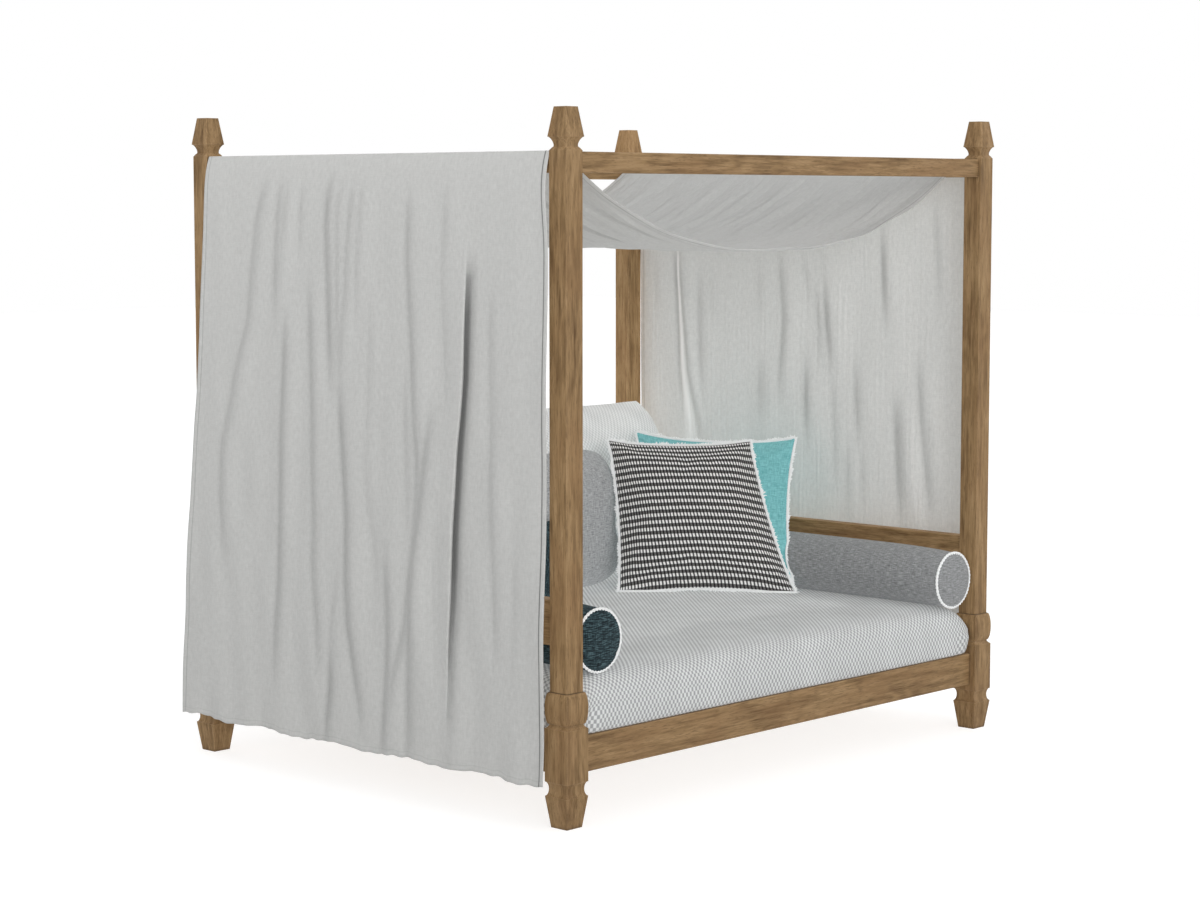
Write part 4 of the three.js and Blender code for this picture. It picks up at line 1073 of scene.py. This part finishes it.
PIPING_RADIUS, PIPING_STRAND, PIPING_PITCH = 0.0052, 0.0030, 0.026
PIPING_POINTS = 240
for name, (x, y_middle) in BOLSTERS.items():
    for end_name, end in (("front", -1), ("back", 1)):
        turn = np.linspace(0, math.tau, PIPING_POINTS + 1)[:-1]
        radius = BOLSTER_END + .001 + .0004 * np.sin(17 * turn + 3 * np.sin(5 * turn))
        ring_y = y_middle + end * (BOLSTER_LENGTH / 2 - BOLSTER_DOME)
        ring_z = BOLSTER_Z - BOLSTER_RADIUS + BOLSTER_END + radius * np.sin(turn)
        ring = np.stack([x + radius * np.cos(turn), np.full(PIPING_POINTS, ring_y), ring_z], axis=1)
        piping = rope(f"{name}_piping_{end_name}", ring, PIPING_RADIUS, PIPING_STRAND, PIPING_PITCH,
                      strands=2)
        finish_piece(piping, YARN)

CORD_RADIUS, CORD_STRAND, CORD_PITCH = .0054, .0033, .018
CORD_STEP, CORD_OUT = .003, .0035
TRIM_FOOT = CUSHION_FOOT + .0100
TRIM_FORWARD = .014  # how far a trim comes forward at its pillow's foot
TUFT_STEP, TUFT_YARNS, TUFT_ROOT = .0042, 3, .004
YARN_RINGS = ((0, 1.0), (.55, .95), (1, .35))  # share of its length, and its width there
YARN_SIDES = 4


def ragged_trim(pillow, seed):
    """A cord along a pillow's seam, with uneven tufts of yarn standing out of it."""
    name = pillow.replace("pillow", "trim")
    rng = np.random.default_rng(seed)
    seam = points_of(cushions[pillow])[rims[pillow]]
    closed = np.vstack([seam, seam[:1]])
    run = run_along(closed)
    middle = seam.mean(0)
    facing = unit(np.cross(seam - middle, np.roll(seam, -1, axis=0) - seam).sum(0))
    front = facing if facing[1] < 0 else -facing
    at_foot = 1 - ease(closed[:, 2], TRIM_FOOT, TRIM_FOOT + .035)
    closed += np.outer(TRIM_FORWARD * at_foot, front)

    def on_seam(at):
        return np.stack([np.interp(at % run[-1], run, closed[:, i]) for i in range(3)], axis=-1)

    def outward_at(at):
        outward = unit(np.cross(on_seam(at + .004) - on_seam(at - .004), facing))
        return outward * np.sign(((on_seam(at) - middle) * outward).sum(-1, keepdims=True))

    cord_at = np.linspace(0, run[-1], int(run[-1] / CORD_STEP) + 1)[:-1]
    path = on_seam(cord_at) + CORD_OUT * outward_at(cord_at)
    path[:, 2] = np.maximum(path[:, 2], TRIM_FOOT)
    finish_piece(rope(name + "_cord", path, CORD_RADIUS, CORD_STRAND, CORD_PITCH), YARN)

    corners, faces = [], []
    yarn_faces = ring_faces(len(YARN_RINGS), YARN_SIDES).tolist()
    yarn_faces += [[3, 2, 1, 0], [8, 9, 10, 11]]
    tufts = int(run[-1] / TUFT_STEP)
    swell = rng.uniform(0, math.tau, 3)
    for k in range(tufts):
        at = run[-1] * (k + rng.uniform(-.4, .4)) / tufts
        outward = outward_at(at)
        root = on_seam(at) + TUFT_ROOT * outward
        along = np.cross(facing, outward)
        wide = .75 + .35 * math.sin(at * 61 + swell[0]) * math.sin(at * 23 + swell[1])
        for _ in range(TUFT_YARNS):
            lean = unit(outward + along * rng.normal(0, .80) + facing * rng.normal(0, .35))
            length = wide * (.005 + .011 * rng.uniform() ** 1.5)
            thick = rng.uniform(.0013, .0023)
            side = unit(np.cross(lean, facing))
            up = np.cross(side, lean)
            curl = along * rng.normal(0, .0018)
            faces += [[len(corners) + corner for corner in face] for face in yarn_faces]
            for share, width in YARN_RINGS:
                centre = root + lean * length * share + curl * share ** 2
                for turn in np.arange(YARN_SIDES) * math.tau / YARN_SIDES:
                    spread = side * math.cos(turn) + up * math.sin(turn)
                    corners.append(centre + spread * thick * width)
    corners = np.array(corners)
    forward = np.array([front[0], front[1], 0])
    corners += np.outer(np.maximum(TRIM_FOOT - corners[:, 2], 0), forward)
    lowest = TRIM_FOOT - .002 + .002 * ease(corners[:, 2], TRIM_FOOT - .012, TRIM_FOOT)
    corners[:, 2] = np.maximum(corners[:, 2], lowest)
    finish_piece(make_mesh(name, corners, faces), YARN)


ragged_trim("check_pillow", 31)
ragged_trim("teal_pillow", 32)

# -------- camera, light and floor
camera = placed("camera", bpy.data.cameras.new("camera"))
camera.data.lens = 79.404
camera.data.sensor_width = 36
camera.location = (-6.531, -6.099, 1.833)
camera.rotation_euler = [math.radians(a) for a in (84.605, 0, -46.925)]
scene.camera = camera

# The strength of the sky's light, while the sky is white to look at
SKY_HORIZON, SKY_ABOVE = 0.25, 0.16
world = bpy.data.worlds.new("world")
scene.world = world
world.use_nodes = True
sky = Nodes(world.node_tree)
background = sky.tree.nodes["Background"].inputs
background["Color"].default_value = (1, 1, 1, 1)
up = sky.axis(sky.add("TexCoord", {}), 2)
sky_light = sky.span(up, 0.0, 1.0, SKY_HORIZON, SKY_ABOVE)
sky.put(background["Strength"], sky.span(sky.seen(), 0.0, 1.0, sky_light, 1.0))

# Each lamp: where it shines from, how strong, its angle, and whether it casts shadows
LAMPS = dict(
    key=((.15, -.80, .58), .10, 50, True),
    rake=((-.50, -.84, .22), .16, 20, True),
    rake_fill=((-.50, -.84, .12), .29, 40, False),
    fill_left=((-1.0, -.05, .06), .31, 60, False),
    fill_front=((.10, -1.0, .05), .05, 60, False),
    fill_top=((-.10, -.10, 1.0), .40, 60, False),
    fill_right=((1.0, -.2, .10), .40, 60, False),
    fill_back=((.20, 1.0, .20), .38, 60, False),
    fill_low=((.10, -.10, -1.0), .44, 60, False),
)
for name, (source, brightness, angle, shadows) in LAMPS.items():
    lamp = placed(name, bpy.data.lights.new(name, "SUN"))
    lamp.rotation_euler = Vector(source).to_track_quat("Z", "Y").to_euler()
    lamp.data.energy = brightness * math.pi
    lamp.data.angle = math.radians(angle)
    lamp.data.use_shadow = shadows

FLOOR_HALF = 30.0
FLOOR_GREY, FLOOR_GLOW = 0.66, 0.45  # its colour, and what makes it white to look at
corners = FLOOR_HALF * np.array([(-1, -1, 0), (1, -1, 0), (1, 1, 0), (-1, 1, 0)])
floor = make_mesh("floor", corners, [[0, 1, 2, 3]])
pale = Material("floor_pale")
pale.shade("Emission Color", (1, 1, 1, 1))
pale.shade("Emission Strength", pale.mul(pale.seen(), FLOOR_GLOW))
grain = pale.noise(pale.object_place(), 40.0, 3.0)
floor.data.materials.append(pale.finish((*(FLOOR_GREY,) * 3, 1), grain, 0.02, 0.001))

scene.view_settings.view_transform = "Standard"
